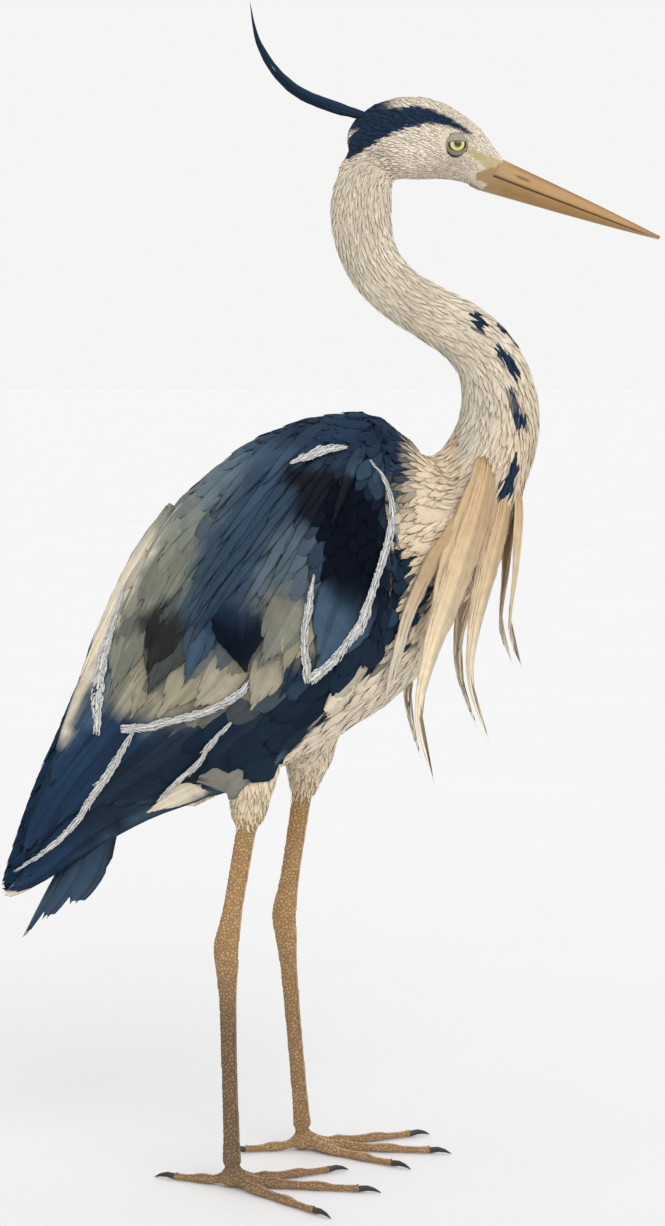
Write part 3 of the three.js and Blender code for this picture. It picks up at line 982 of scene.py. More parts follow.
class Markings:
    """Colours of the coat at any place, shared by the skin and the feathers."""

    BROW = Stripe(
        Tone.NAVY,
        (
            (123, 766, 0.8), (113, 771.5, 2.6), (101, 776, 4.6), (84, 778, 6.6), (66, 776, 8.6),
            (50, 768, 9.5), (38, 757, 6.5), (33, 751, 3),
        ),
        1.2,
    )
    NECK_DASHES = (
        Stripe(Tone.NAVY, ((129, 638, 2.0), (136, 626, 3.6)), 0.8),
        Stripe(Tone.NAVY, ((147, 627, 1.8), (162, 615, 4.2)), 0.8),
        Stripe(Tone.NAVY, ((147, 609, 2.6), (157, 592, 5.0)), 0.8),
        Stripe(Tone.NAVY, ((154, 577, 3.2), (159, 554, 5.6)), 0.8),
        Stripe(Tone.NAVY, ((153, 528, 3), (148, 507, 5.2)), 0.8),
    )
    FLANK_DASHES = (
        Stripe(Tone.NAVY, ((92, 444, 2), (87, 428, 5)), 2),
        Stripe(Tone.NAVY, ((81, 421, 2), (72, 400, 5)), 2),
    )
    FLANK_BAND = Stripe(
        Tone.DUSK,
        (
            (67, 464, 8), (76, 446, 10), (54, 402, 12), (34, 374, 12), (-2, 342, 12), (-46, 316, 10),
            (-76, 300, 7),
        ),
        3,
    )
    BELLY_EDGE = (
        (-34, 304), (-13, 311), (-3, 319), (8, 330), (12, 352), (20, 364), (29, 369), (42, 370),
        (53, 377), (59, 394), (66, 411), (72, 434), (78, 457), (84, 480),
    )
    WING_PATCHES = (
        Patch(Tone.MANTLE, 12, 562, 84, 30, -14), Patch(Tone.PEWTER, -73, 496, 46, 26, 50, 0.8),
        Patch(Tone.OLIVE, -104, 450, 58, 28, 64), Patch(Tone.SLATE_BLUE, -33, 485, 56, 30, 60, 0.8),
        Patch(Tone.PEWTER, -14, 464, 26, 16, 60, 0.5), Patch(Tone.SAND, -10, 413, 24, 36, 60, 0.8),
        Patch(Tone.NAVY, -45, 416, 26, 22, 80, 0.9), Patch(Tone.MOSS, -102, 397, 34, 22, 60, 0.9),
        Patch(Tone.SAND, -63, 369, 62, 17, 18), Patch(Tone.SAND, -120, 374, 14, 40, -20, 0.8),
        Patch(Tone.NAVY, -68, 327, 84, 20, 24), Patch(Tone.SOOT, -96, 414, 22, 15, 30, 0.9),
    )
    LOWER_BAND = Stripe(
        Tone.DUSK,
        (
            (78, 463, 5), (60, 437, 12), (45, 399, 16), (22, 364, 19), (-15, 340, 21), (-54, 319, 20),
            (-96, 300, 18),
        ),
        4,
    )
    WING_TIP = Stripe(Tone.NAVY, ((-129, 330, 24), (-158, 290, 36), (-199, 244, 32), (-224, 217, 26)), 8)
    LOW_QUILLS = Stripe(
        Tone.DUSK, ((-58, 338, 12), (-82, 326, 16), (-112, 306, 17), (-141, 278, 14), (-158, 258, 10)), 5
    )
    SHOULDER = Stripe(
        Tone.INK,
        ((-3, 522, 9), (16, 512, 21), (33, 492, 28), (39, 464, 26), (43, 439, 17), (43, 422, 8)), 6,
    )
    UNDERTAIL = Stripe(Tone.NAPE, ((-65, 294, 3), (-87, 290, 8), (-104, 276, 8), (-118, 267, 4)), 2)
    BACK_STRIP = Stripe(
        Tone.NAPE, ((-100, 500, 4), (-124, 452, 8), (-142, 412, 10), (-158, 372, 9), (-174, 334, 5)), 4
    )

    def __init__(self) -> None:
        """Set the noise that makes every edge ragged."""
        self.wobble = [Ripple(26.0, 11 + i) for i in range(3)]
        self.speckle = [Ripple(7.0, 31 + i) for i in range(3)]
        self.mottle = Ripple(38.0, 51)

    def _ragged(self, points: Array, coarse: float, fine: float) -> Array:
        """Return the points moved a little, so that a mask has a natural edge."""
        moved = points.copy()
        for axis in (0, 2):
            moved[:, axis] += coarse * self.wobble[axis](points)
            moved[:, axis] += fine * self.speckle[axis](points)
        return moved

    def body(self, points: Array) -> Array:
        """Return the colour of head, neck, body and thighs.

        Args:
            points: Places on the surface, one to a row.

        Returns:
            Linear red, green and blue for each place.
        """
        region, along, angle = SPINE.locate(points)
        turn = np.abs(angle) / math.pi
        colour = Tone.NECK.everywhere(points)
        head = region == Region.HEAD.value
        neck = region == Region.NECK.value
        body = region == Region.BODY.value
        share = (along - SPINE.first[Region.NECK]) / (SPINE.first[Region.BODY] - SPINE.first[Region.NECK])
        Tone.CREAM.wash(colour, head * 1.0)
        Tone.CHEEK.wash(colour, head * smooth(752, 738, points[:, 2]))
        Tone.NAPE.wash(colour, neck * smooth(0.6, 0.85, turn) * 0.9)
        Tone.PEARL.wash(colour, neck * smooth(0.45, 0.8, turn) * smooth(0.5, 0.95, share) * 0.3)
        Tone.OCHRE.wash(colour, neck * smooth(0.62, 0.95, share) * smooth(0.7, 0.3, turn) * 0.45)
        Tone.OCHRE.wash(colour, body * 0.45)
        # The belly's own pale cream, washed in strongly, partly as painted light against the shade under
        # the body.
        Tone.CREAM.wash(colour, body * smooth(440, 370, points[:, 2]) * 0.9)
        above = smooth(500, 520, points[:, 2] - 0.9 * (40 - points[:, 0]).clip(-200, 0))
        Tone.MANTLE.wash(colour, body * smooth(0.50, 0.66, turn) * smooth(84, 68, points[:, 0]) * above)
        Tone.MANTLE.wash(colour, body * smooth(0.55, 0.70, turn) * smooth(-40, -60, points[:, 0]))
        Tone.NAVY.wash(colour, body * smooth(-140, -158, points[:, 0]))
        ragged = self._ragged(points, 1.5, 1.0)
        middle = smooth(1.5, 4.0, np.abs(points[:, 1]))
        for dash in self.NECK_DASHES:
            dash.tone.wash(colour, dash.mask(ragged) * middle * smooth(0.55, 0.35, turn))
        for dash in self.FLANK_DASHES:
            dash.tone.wash(colour, dash.mask(ragged))
        rough = self._ragged(points, 3.0, 2.0)
        under = self.belly_side(ragged)
        corner = smooth(-1.5, 1.5, 473 - 1.23 * (points[:, 0] - 65) - points[:, 2])
        band = self.FLANK_BAND.mask(rough) * smooth(12, 26, np.abs(points[:, 1]))
        Tone.DUSK.wash(colour, body * band * corner * (1 - under))
        Tone.NAVY.wash(colour, head * self.BROW.mask(self._ragged(points, 0.8, 0.5)))
        crown = smooth(70, 56, points[:, 0]) * smooth(764, 772, points[:, 2])
        Tone.NAVY.wash(colour, (head | neck) * crown)
        return self._vary(points, colour, 0.07)

    def leg(self, points: Array) -> Array:
        """Return the colour of the bare legs, darker on the right shin and the toes."""
        colour = Tone.LEG.everywhere(points)
        z = points[:, 2]
        Tone.LEG_PALE.wash(colour, 0.5 * np.exp(-(((z - 182) / 16) ** 2)))
        dark = np.where(points[:, 1] < 0, 0.8, 0.35)
        Tone.SHIN.wash(colour, dark * smooth(190, 110, z) * smooth(-8, 16, z))
        Tone.LEG_PALE.wash(colour, 0.55 * smooth(215, 262, z))
        return colour

    def belly_side(self, points: Array) -> Array:
        """Return how far places lie on the pale side of the wing's lower border."""
        x, z = np.array(self.BELLY_EDGE, float).T
        border = np.interp(points[:, 0], x, z)
        return smooth(1.8, -1.8, points[:, 2] - border) * (points[:, 0] > -34)

    def thigh(self, points: Array) -> Array:
        """Return the colour of the thighs, which is pale with a warm lower end."""
        colour = Tone.NAPE.everywhere(points)
        Tone.OCHRE.wash(colour, 0.15 + 0.45 * smooth(330, 262, points[:, 2]))
        return self._vary(points, colour, 0.07)

    def wing(self, points: Array, long: bool = False) -> Array:
        """Return the colour of the wing's coverts, or of its long feathers.

        Args:
            points: Places on the wing, one to a row.
            long: Whether to leave out the pale marks that only short feathers carry.

        Returns:
            Linear red, green and blue for each place.
        """
        colour = Tone.SLATE.everywhere(points)
        rough = self._ragged(points, 3.5, 1.2)
        marks = (
            *self.WING_PATCHES, self.LOWER_BAND, self.WING_TIP, self.LOW_QUILLS, self.SHOULDER,
            self.BACK_STRIP, self.UNDERTAIL,
        )
        beside = smooth(12, 22, np.abs(points[:, 1]))
        for patch in marks:
            mask = patch.mask(rough)
            if patch is self.BACK_STRIP:
                mask = mask * beside
            if patch is not self.UNDERTAIL or not long:
                patch.tone.wash(colour, mask)
        pale = self.belly_side(self._ragged(points, 1.5, 1.0)) * (points[:, 2] < 470)
        front = smooth(66.0, 69.0, points[:, 0]) * smooth(468, 476, points[:, 2])
        pale = np.maximum(pale, front * smooth(540, 526, points[:, 2]))
        Tone.NAPE.wash(colour, pale)
        return self._vary(points, colour, 0.12)

    def wing_fringe(self, points: Array) -> Array:
        """Return the colour and strength of the lighter fringe of the wing's feathers."""
        pale = self.wing(points) * 1.5 + 0.05
        return np.column_stack([np.clip(pale, 0, 1), np.full(len(points), 0.16)])

    def _vary(self, points: Array, colour: Array, amount: float) -> Array:
        """Return the colour made a little lighter or darker from place to place."""
        change = 1 + amount * (self.mottle(points) + 0.6 * self.speckle[0](points))
        return np.clip(colour * change[:, None], 0, 1)


MARKINGS = Markings()


# --------------------------------------------------------------------------------------
# Skin
# --------------------------------------------------------------------------------------


@dataclass
class Skin:
    """One closed skin in place of every node of flesh, inside them by the coat's depth."""

    voxel: float = 2.15
    head_depth: float = 2.0
    neck_depth: float = 3.6
    body_depth: float = 5.5
    thigh_depth: float = 4.0
    leg_depth: float = 0.45
    polish: int = 5
    fold_polish: int = 60
    points: Array = field(default_factory=lambda: np.empty((0, 3)))
    normals: Array = field(default_factory=lambda: np.empty((0, 3)))
    triangles: Array = field(default_factory=lambda: np.empty((0, 3), int))
    piece: Optional[Piece] = None

    FOLDS = ((160, 0, 497, 40), (12, 40, 334, 30), (-32, -42, 336, 28))
    NODES = (
        "head", "neck_upper", "neck_upper_bend", "neck_lower_bend", "neck_base", "trunk",
        *(
            f"{part}_{side}" for side in ("left", "right") for part in (
                "wing", "thigh", "shank", "ankle", "tarsus", "foot", "toe_inner", "toe_middle",
                "toe_outer", "toe_hind",
            )
        ),
    )

    def build(self, wardrobe: Wardrobe) -> Piece:
        """Make the skin.

        Args:
            wardrobe: The bird's finishes.

        Returns:
            The skin's object.
        """
        rough = self._joined_flesh()
        remesh = rough.modifiers.new("closed skin", "REMESH")
        remesh.mode = "VOXEL"
        remesh.voxel_size = self.voxel * MM
        remesh.adaptivity = 0.0
        polish = rough.modifiers.new("polish", "SMOOTH")
        polish.factor = 0.5
        polish.iterations = self.polish
        mesh = evaluated_copy(rough, "skin")
        discard(rough)
        self._sink(mesh)
        self._read(mesh)
        store(mesh, "Tint", opaque(self._colour(self.points)))
        soften(mesh)
        mesh.materials.clear()
        mesh.materials.append(wardrobe.down)
        self.piece = hand_in(placed("skin", mesh), "pale_feather", *self.NODES)
        return self.piece

    def _joined_flesh(self) -> Piece:
        """Return one object with a merged copy of every node of flesh."""
        joined = bmesh.new()
        for name in self.NODES:
            joined.from_mesh(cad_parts[name].data)
        bmesh.ops.remove_doubles(joined, verts=joined.verts, dist=0.01 * MM)
        mesh = bpy.data.meshes.new("flesh")
        joined.to_mesh(mesh)
        joined.free()
        return placed("flesh", mesh)

    def _depth(self, points: Array) -> Array:
        """Return how deep the skin lies under the outline at each place."""
        region, _, _ = SPINE.locate(points)
        depth = np.choose(region, [self.head_depth, self.neck_depth, self.body_depth])
        z = points[:, 2]
        legs = smooth(340, 300, z) * (points[:, 0] > -75)
        depth = depth + (self.thigh_depth - depth) * legs
        depth = depth + (self.leg_depth - depth) * smooth(292, 272, z) * (points[:, 0] > -78)
        depth = np.where(z < 250, self.leg_depth, depth)
        slim = smooth(-100, -200, points[:, 0]) * (z > 150)
        depth = depth + (2.0 - depth) * slim
        folded = np.column_stack([points[:, 0], np.abs(points[:, 1]), z])
        near_eye = smooth(15, 8, np.linalg.norm(folded - EYE_CENTRE, axis=1))
        near_bill = smooth(118, 134, points[:, 0]) * (z > 700)
        return depth + (0.3 - depth) * np.maximum(near_eye, near_bill)

    def _sink(self, mesh: Mesh) -> None:
        """Move every point of the mesh in by the depth of the coat."""
        self._read(mesh)
        for _ in range(4):
            moved = self.points - self.normals * (self._depth(self.points) / 4)[:, None]
            self._move(mesh, moved)
        self._even(mesh)

    def _move(self, mesh: Mesh, points: Array) -> None:
        """Set the mesh's points and read it again."""
        mesh.vertices.foreach_set("co", BIRD.metres(points).astype(np.float32).ravel())
        mesh.update()
        self._read(mesh)

    def _even(self, mesh: Mesh) -> None:
        """Smooth the folds where the neck joins the breast and the thighs join the belly."""
        near = np.zeros(len(self.points))
        for x, y, z, reach in self.FOLDS:
            gap = np.linalg.norm(self.points - (x, y, z), axis=1)
            near = np.maximum(near, smooth(reach, reach * 0.55, gap))
        flat = np.empty(len(mesh.edges) * 2, np.int32)
        mesh.edges.foreach_get("vertices", flat)
        edges = flat.reshape(-1, 2)
        edges = edges[(near[edges] > 0).any(axis=1)]
        ends = np.concatenate([edges[:, 0], edges[:, 1]])
        others = np.concatenate([edges[:, 1], edges[:, 0]])
        count = np.maximum(np.bincount(ends, minlength=len(near)), 1)
        points = self.points.copy()
        for _ in range(self.fold_polish):
            sums = [np.bincount(ends, axis, len(near)) for axis in points[others].T]
            points += (np.column_stack(sums) / count[:, None] - points) * (near * 0.6)[:, None]
        self._move(mesh, points)

    def _read(self, mesh: Mesh) -> None:
        """Read the mesh's points, normals and triangles."""
        count = len(mesh.vertices)
        flat = np.empty(count * 3, np.float32)
        mesh.vertices.foreach_get("co", flat)
        self.points = BIRD.millimetres(flat.reshape(-1, 3))
        mesh.vertex_normals.foreach_get("vector", flat)
        self.normals = flat.reshape(-1, 3).astype(float)
        mesh.calc_loop_triangles()
        corners = np.empty(len(mesh.loop_triangles) * 3, np.int32)
        mesh.loop_triangles.foreach_get("vertices", corners)
        self.triangles = corners.reshape(-1, 3)

    @staticmethod
    def _colour(points: Array) -> Array:
        """Return the colour of the down under the coat at each place."""
        colour = MARKINGS.body(points)
        z = points[:, 2]
        # Under the wing the down takes the wing's colour darkened to 0.7, as painted shade in the gaps
        # between the coverts.
        wing = (in_wing(points, 6.0) & (np.abs(points[:, 1]) > UNDER_WING))[:, None]
        colour += (MARKINGS.wing(points) * 0.7 - colour) * wing
        legs = (smooth(345, 320, z) * (points[:, 0] > -75) * (points[:, 2] < 345))[:, None]
        colour += (MARKINGS.thigh(points) - colour) * legs
        Tone.LORE.wash(colour, bare_lore(points))
        Tone.RICTUS.wash(colour, gape_corner(points))
        bare = smooth(275, 263, over_cuff(points)) * (points[:, 0] > -80)
        bare = np.maximum(bare, z < 200)[:, None]
        return colour + (MARKINGS.leg(points) * 0.8 - colour) * bare


# --------------------------------------------------------------------------------------
# Feathers
# --------------------------------------------------------------------------------------


@dataclass
class Mould:
    """One feather or scute at unit size: X across, Y along, Z out."""

    points: Array
    faces: Faces
    place: Array


@dataclass(frozen=True)
class Vane:
    """A kind of feather: how it widens, how its tip ends and how its edge frays.

    Widths are shares of the feather's width and lengths are shares of its length.
    """

    rows: int = 5
    columns: int = 5
    root: float = 0.35
    shoulder: float = 0.55
    point: float = 0.3
    fray: float = 0.08
    bow: float = 0.1
    thickness: float = 0.04
    slant: float = 0.1

    def half_width(self, along: Array) -> Array:
        """Return the half width at shares of the length."""
        rise = self.root + (1 - self.root) * np.sin(np.clip(along / self.shoulder, 0, 1) * math.pi / 2)
        past = np.clip((along - self.shoulder) / (1 - self.shoulder), 0, 1)
        rounded = np.sqrt(np.clip(1 - past**2.4, 0, 1))
        pointed = (1 - past) ** 0.85
        fall = rounded + (pointed - rounded) * self.point
        return 0.5 * np.minimum(rise, 1) * np.maximum(fall, 0.05)

    def mould(self, seed: int) -> Mould:
        """Return one feather of this kind.

        Args:
            seed: Seed of the notches, so that no two moulds fray alike.

        Returns:
            A thin closed shell whose underside follows the shaft.
        """
        rng = np.random.default_rng(seed)
        along = np.linspace(0, 1, self.rows + 1) ** 0.9
        along[-1] = 0.985
        across = np.linspace(-1, 1, self.columns)
        half = self.half_width(along)
        notch = 1 - self.fray * rng.uniform(0, 1.6, (self.rows + 1, self.columns))
        side = np.where(np.abs(across)[None, :] > 0.99, notch, 1.0)
        x = half[:, None] * across[None, :] * side
        ahead = self.slant * np.abs(across)[None, :] ** 1.5 * (along * (1 - along) * 3)[:, None]
        y = along[:, None] + ahead * 0.5
        y[-1] -= 0.03 * np.abs(across) + self.fray * 0.9 * rng.uniform(0, 1, self.columns)
        y[-1, self.columns // 2] = 1.0
        z = self.bow * (1 - across[None, :] ** 2) * (half[:, None] * 2)
        top = np.stack([x, y, np.broadcast_to(z, x.shape)], axis=2).reshape(-1, 3)
        shaft = top.reshape(self.rows + 1, self.columns, 3)[:, self.columns // 2].copy()
        shaft[:, 2] -= self.thickness * (1 - 0.5 * along) + 0.01
        shaft[:, 1] = shaft[:, 1] * 0.96 + 0.02
        points = np.vstack([top, shaft])
        place = np.column_stack([0.5 + points[:, 0], points[:, 1]])
        place[:, 0] = 0.5 + 0.5 * np.concatenate(
            [np.tile(across, self.rows + 1), np.zeros(self.rows + 1)]
        )
        return Mould(points, self._faces(), np.clip(place, 0, 1))

    def _faces(self) -> Faces:
        """Return the faces of the shell as point numbers."""
        faces: Faces = []
        wide, below = self.columns, (self.rows + 1) * self.columns
        for row in range(self.rows):
            low, high = row * wide, (row + 1) * wide
            for column in range(wide - 1):
                faces.append((low + column, low + column + 1, high + column + 1, high + column))
            last = wide - 1
            faces.append((low, high, below + row + 1, below + row))
            faces.append((low + last, below + row, below + row + 1, high + last))
        for column in range(wide - 1):
            end = self.rows * wide + column
            faces.append((below, column + 1, column))
            faces.append((below + self.rows, end, end + 1))
        return faces


class MouldRack:
    """A hidden collection of moulds that the laying tree picks from."""

    def __init__(self, name: str, moulds: Sequence[Mould]) -> None:
        """Make an object of each mould.

        Args:
            name: Name of the collection.
            moulds: The shapes, in the order of their numbers.
        """
        self.collection = bpy.data.collections.new(name)
        self.pieces = []
        for number, mould in enumerate(moulds):
            mesh = bpy.data.meshes.new(f"{name}_{number:02d}")
            mesh.from_pydata(mould.points.tolist(), [], mould.faces)
            add_map(mesh, "FeatherUV", mould.place)
            soften(mesh)
            store(mesh, "Along", np.clip(mould.points[:, 1], 0, 1))
            store(mesh, "Bow", mould.points[:, 2])
            piece = bpy.data.objects.new(f"{name}_{number:02d}", mesh)
            self.collection.objects.link(piece)
            self.pieces.append(piece)

    def clear(self) -> None:
        """Remove the moulds."""
        for piece in self.pieces:
            discard(piece)
        bpy.data.collections.remove(self.collection)


class LayingTree:
    """Geometry Nodes that set a shape on every root and lay it on a surface.

    PATCH is the side of each shape's own patch on the map for baking.
    """

    PATCH = 0.003

    def __init__(self) -> None:
        """Build the node group with its named inputs."""
        self.group = bpy.data.node_groups.new("lay on surface", "GeometryNodeTree")
        face = self.group.interface
        kinds = (
            ("Roots", "NodeSocketGeometry"), ("Moulds", "NodeSocketCollection"),
            ("Surface", "NodeSocketObject"), ("Finish", "NodeSocketMaterial"),
        )
        self.inputs = {
            label: face.new_socket(label, in_out="INPUT", socket_type=kind).identifier
            for label, kind in kinds
        }
        face.new_socket("Coat", in_out="OUTPUT", socket_type="NodeSocketGeometry")
        self.graph = Graph(self.group)
        self._wire()

    def _named(self, key: str, kind: str = "FLOAT") -> Socket:
        """Return an attribute that every point carries."""
        made = self.graph.node("GeometryNodeInputNamedAttribute", {"data_type": kind}, {"Name": key})
        return made.outputs["Attribute"]

    def _vector(self, operation: str, *given: Any) -> Socket:
        """Return the result of a Vector Math node."""
        inputs = dict(enumerate(given))
        if operation == "SCALE":
            inputs = {0: given[0], "Scale": given[1]}
        return self.graph.node("ShaderNodeVectorMath", {"operation": operation}, inputs).outputs[0]

    def _nearest(self, surface: Any, sampled: Any, place: Any) -> Socket:
        """Return what the surface holds at its nearest place."""
        made = self.graph.node(
            "GeometryNodeSampleNearestSurface", {"data_type": "FLOAT_VECTOR"},
            {"Mesh": surface, "Value": sampled, "Sample Position": place},
        )
        return made.outputs["Value"]

    def _wire(self) -> None:
        """Connect the nodes."""
        graph = self.graph
        given = graph.node("NodeGroupInput")
        pool = graph.node(
            "GeometryNodeCollectionInfo", None,
            {"Collection": given.outputs["Moulds"], "Separate Children": True, "Reset Children": True},
        )
        turn = graph.node(
            "FunctionNodeAxesToRotation", {"primary_axis": "Z", "secondary_axis": "Y"},
            {
                "Primary Axis": self._named("Stand", "FLOAT_VECTOR"),
                "Secondary Axis": self._named("Lie", "FLOAT_VECTOR"),
            },
        )
        size = self._named("Size", "FLOAT_VECTOR")
        placed = graph.node(
            "GeometryNodeInstanceOnPoints", None,
            {
                "Points": given.outputs["Roots"], "Instance": pool.outputs[0], "Pick Instance": True,
                "Instance Index": self._named("Kind", "INT"), "Rotation": turn.outputs[0], "Scale": size,
            },
        )
        real = graph.node("GeometryNodeRealizeInstances", None, {0: placed.outputs[0]})
        surface = graph.node(
            "GeometryNodeObjectInfo", None, {"Object": given.outputs["Surface"]}
        ).outputs["Geometry"]
        here = graph.node("GeometryNodeInputPosition").outputs[0]
        foot = self._nearest(surface, here, here)
        way_out = self._nearest(surface, graph.node("GeometryNodeInputNormal").outputs[0], here)
        along = graph.value(self._named("Along"))
        sink, lift = graph.value(self._named("Sink")), graph.value(self._named("Lift"))
        width = graph.node("ShaderNodeSeparateXYZ", None, {0: size}).outputs[2]
        bow = graph.value(self._named("Bow")) * graph.value(width)
        height = sink + (lift - sink) * along.power(1.2) + bow
        laid = self._vector("ADD", foot, self._vector("SCALE", way_out, height))
        moved = graph.node(
            "GeometryNodeSetPosition", None, {"Geometry": real.outputs[0], "Position": laid}
        )
        own = self._vector("SUBTRACT", self._named("FeatherUV", "FLOAT_VECTOR"), (0.5, 0.5, 0.0))
        small = self._vector("MULTIPLY", own, (self.PATCH, self.PATCH, 0.0))
        spot = self._vector("ADD", self._named("MapPlace", "FLOAT_VECTOR"), small)
        mapped = graph.node(
            "GeometryNodeStoreNamedAttribute", {"data_type": "FLOAT2", "domain": "CORNER"},
            {"Geometry": moved.outputs[0], "Name": "OFBake", "Value": spot},
        )
        dressed = graph.node(
            "GeometryNodeSetMaterial", None,
            {"Geometry": mapped.outputs[0], "Material": given.outputs["Finish"]},
        )
        graph.node("NodeGroupOutput", None, {0: dressed.outputs[0]})


@dataclass
class Roots:
    """Feathers to be laid: one row of each array for each feather."""

    points: Array
    stand: Array  # the way out of the surface
    lie: Array  # the way from root to tip
    length: Array
    width: Array
    sink: Array  # height of the root over the surface
    lift: Array  # height of the tip
    kind: Array  # number of the mould
    tint: Array
    fringe: Array
    map_place: Array

    def to_object(self, name: str) -> Piece:
        """Return an object of loose points that carry the values, in metres."""
        mesh = bpy.data.meshes.new(name)
        mesh.from_pydata(BIRD.metres(self.points).tolist(), [], [])
        values = {
            "Stand": self.stand, "Lie": self.lie,
            "Size": np.column_stack([self.width, self.length, self.width]) * MM,
            "Sink": self.sink * MM, "Lift": self.lift * MM, "Kind": self.kind.astype(int),
            "Tint": opaque(self.tint), "Fringe": self.fringe, "Span": self.length,
            "MapPlace": np.column_stack([self.map_place, np.zeros(len(self.points))]),
        }
        for key, value in values.items():
            store(mesh, key, value)
        return placed(name, mesh)


class Layer:
    """Lays coats on the skin with the laying tree."""

    def __init__(self, skin: Skin) -> None:
        """Build the tree once for every coat."""
        self.tree = LayingTree()
        self.skin = skin

    def lay(self, name: str, roots: Roots, moulds: Sequence[Mould], finish: Material, slot: str) -> Piece:
        """Lay one coat and return it as a plain mesh fixed to the body.

        Args:
            name: Name of the coat.
            roots: The feathers.
            moulds: The shapes that the feathers' numbers pick from.
            finish: Material of the coat.
            slot: Not used.

        Returns:
            The coat's object.
        """
        rack = MouldRack(name, moulds)
        seeds = roots.to_object(f"{name}_roots")
        modifier = seeds.modifiers.new("lay", "NODES")
        modifier.node_group = self.tree.group
        modifier[self.tree.inputs["Moulds"]] = rack.collection
        modifier[self.tree.inputs["Surface"]] = self.skin.piece
        modifier[self.tree.inputs["Finish"]] = finish
        mesh = evaluated_copy(seeds, name)
        discard(seeds)
        rack.clear()
        if not mesh.materials:
            mesh.materials.append(finish)
        return hand_in(placed(name, mesh), slot)


def scatter(skin: Skin, keep: Field, spacing: Field, seed: int, tries: float = 7.0) -> Pair:
    """Spread roots over part of the skin, no two closer than the spacing there.

    Args:
        skin: The skin that carries the roots.
        keep: Says which places of the skin are part of the coat.
        spacing: Distance between roots at each place, in millimetres.
        seed: Seed of the places.
        tries: Places tried for each one expected to stay.

    Returns:
        The places and the ways out of the skin there.
    """
    rng = np.random.default_rng(seed)
    corners = skin.points[skin.triangles]
    middle = corners.mean(axis=1)
    inside = keep(middle)
    corners, triangles = corners[inside], skin.triangles[inside]
    area = np.linalg.norm(np.cross(corners[:, 1] - corners[:, 0], corners[:, 2] - corners[:, 0]), axis=1)
    gap = spacing(corners.mean(axis=1))
    share = area / gap**2
    count = int(tries * share.sum() / 2)
    chosen = rng.choice(len(area), count, p=share / share.sum())
    first, second = rng.random(count), rng.random(count)
    over = first + second > 1
    first[over], second[over] = 1 - first[over], 1 - second[over]
    third = 1 - first - second
    weights = np.column_stack([third, first, second])[..., None]
    points = (corners[chosen] * weights).sum(axis=1)
    normals = unit((skin.normals[triangles[chosen]] * weights).sum(axis=1))
    reach = spacing(points)
    cell = float(reach.min())
    taken: dict[Any, list[int]] = {}
    kept: list[int] = []
    for number, home in enumerate(np.floor(points / cell).astype(int).tolist()):
        own = math.ceil(reach[number] / cell)
        around = product(*(range(middle - own, middle + own + 1) for middle in home))
        others = [other for spot in around for other in taken.get(spot, ())]
        gaps = points[others] - points[number]
        if ((gaps**2).sum(axis=1) >= reach[number] ** 2).all():
            taken.setdefault(tuple(home), []).append(number)
            kept.append(number)
    return points[kept], normals[kept]


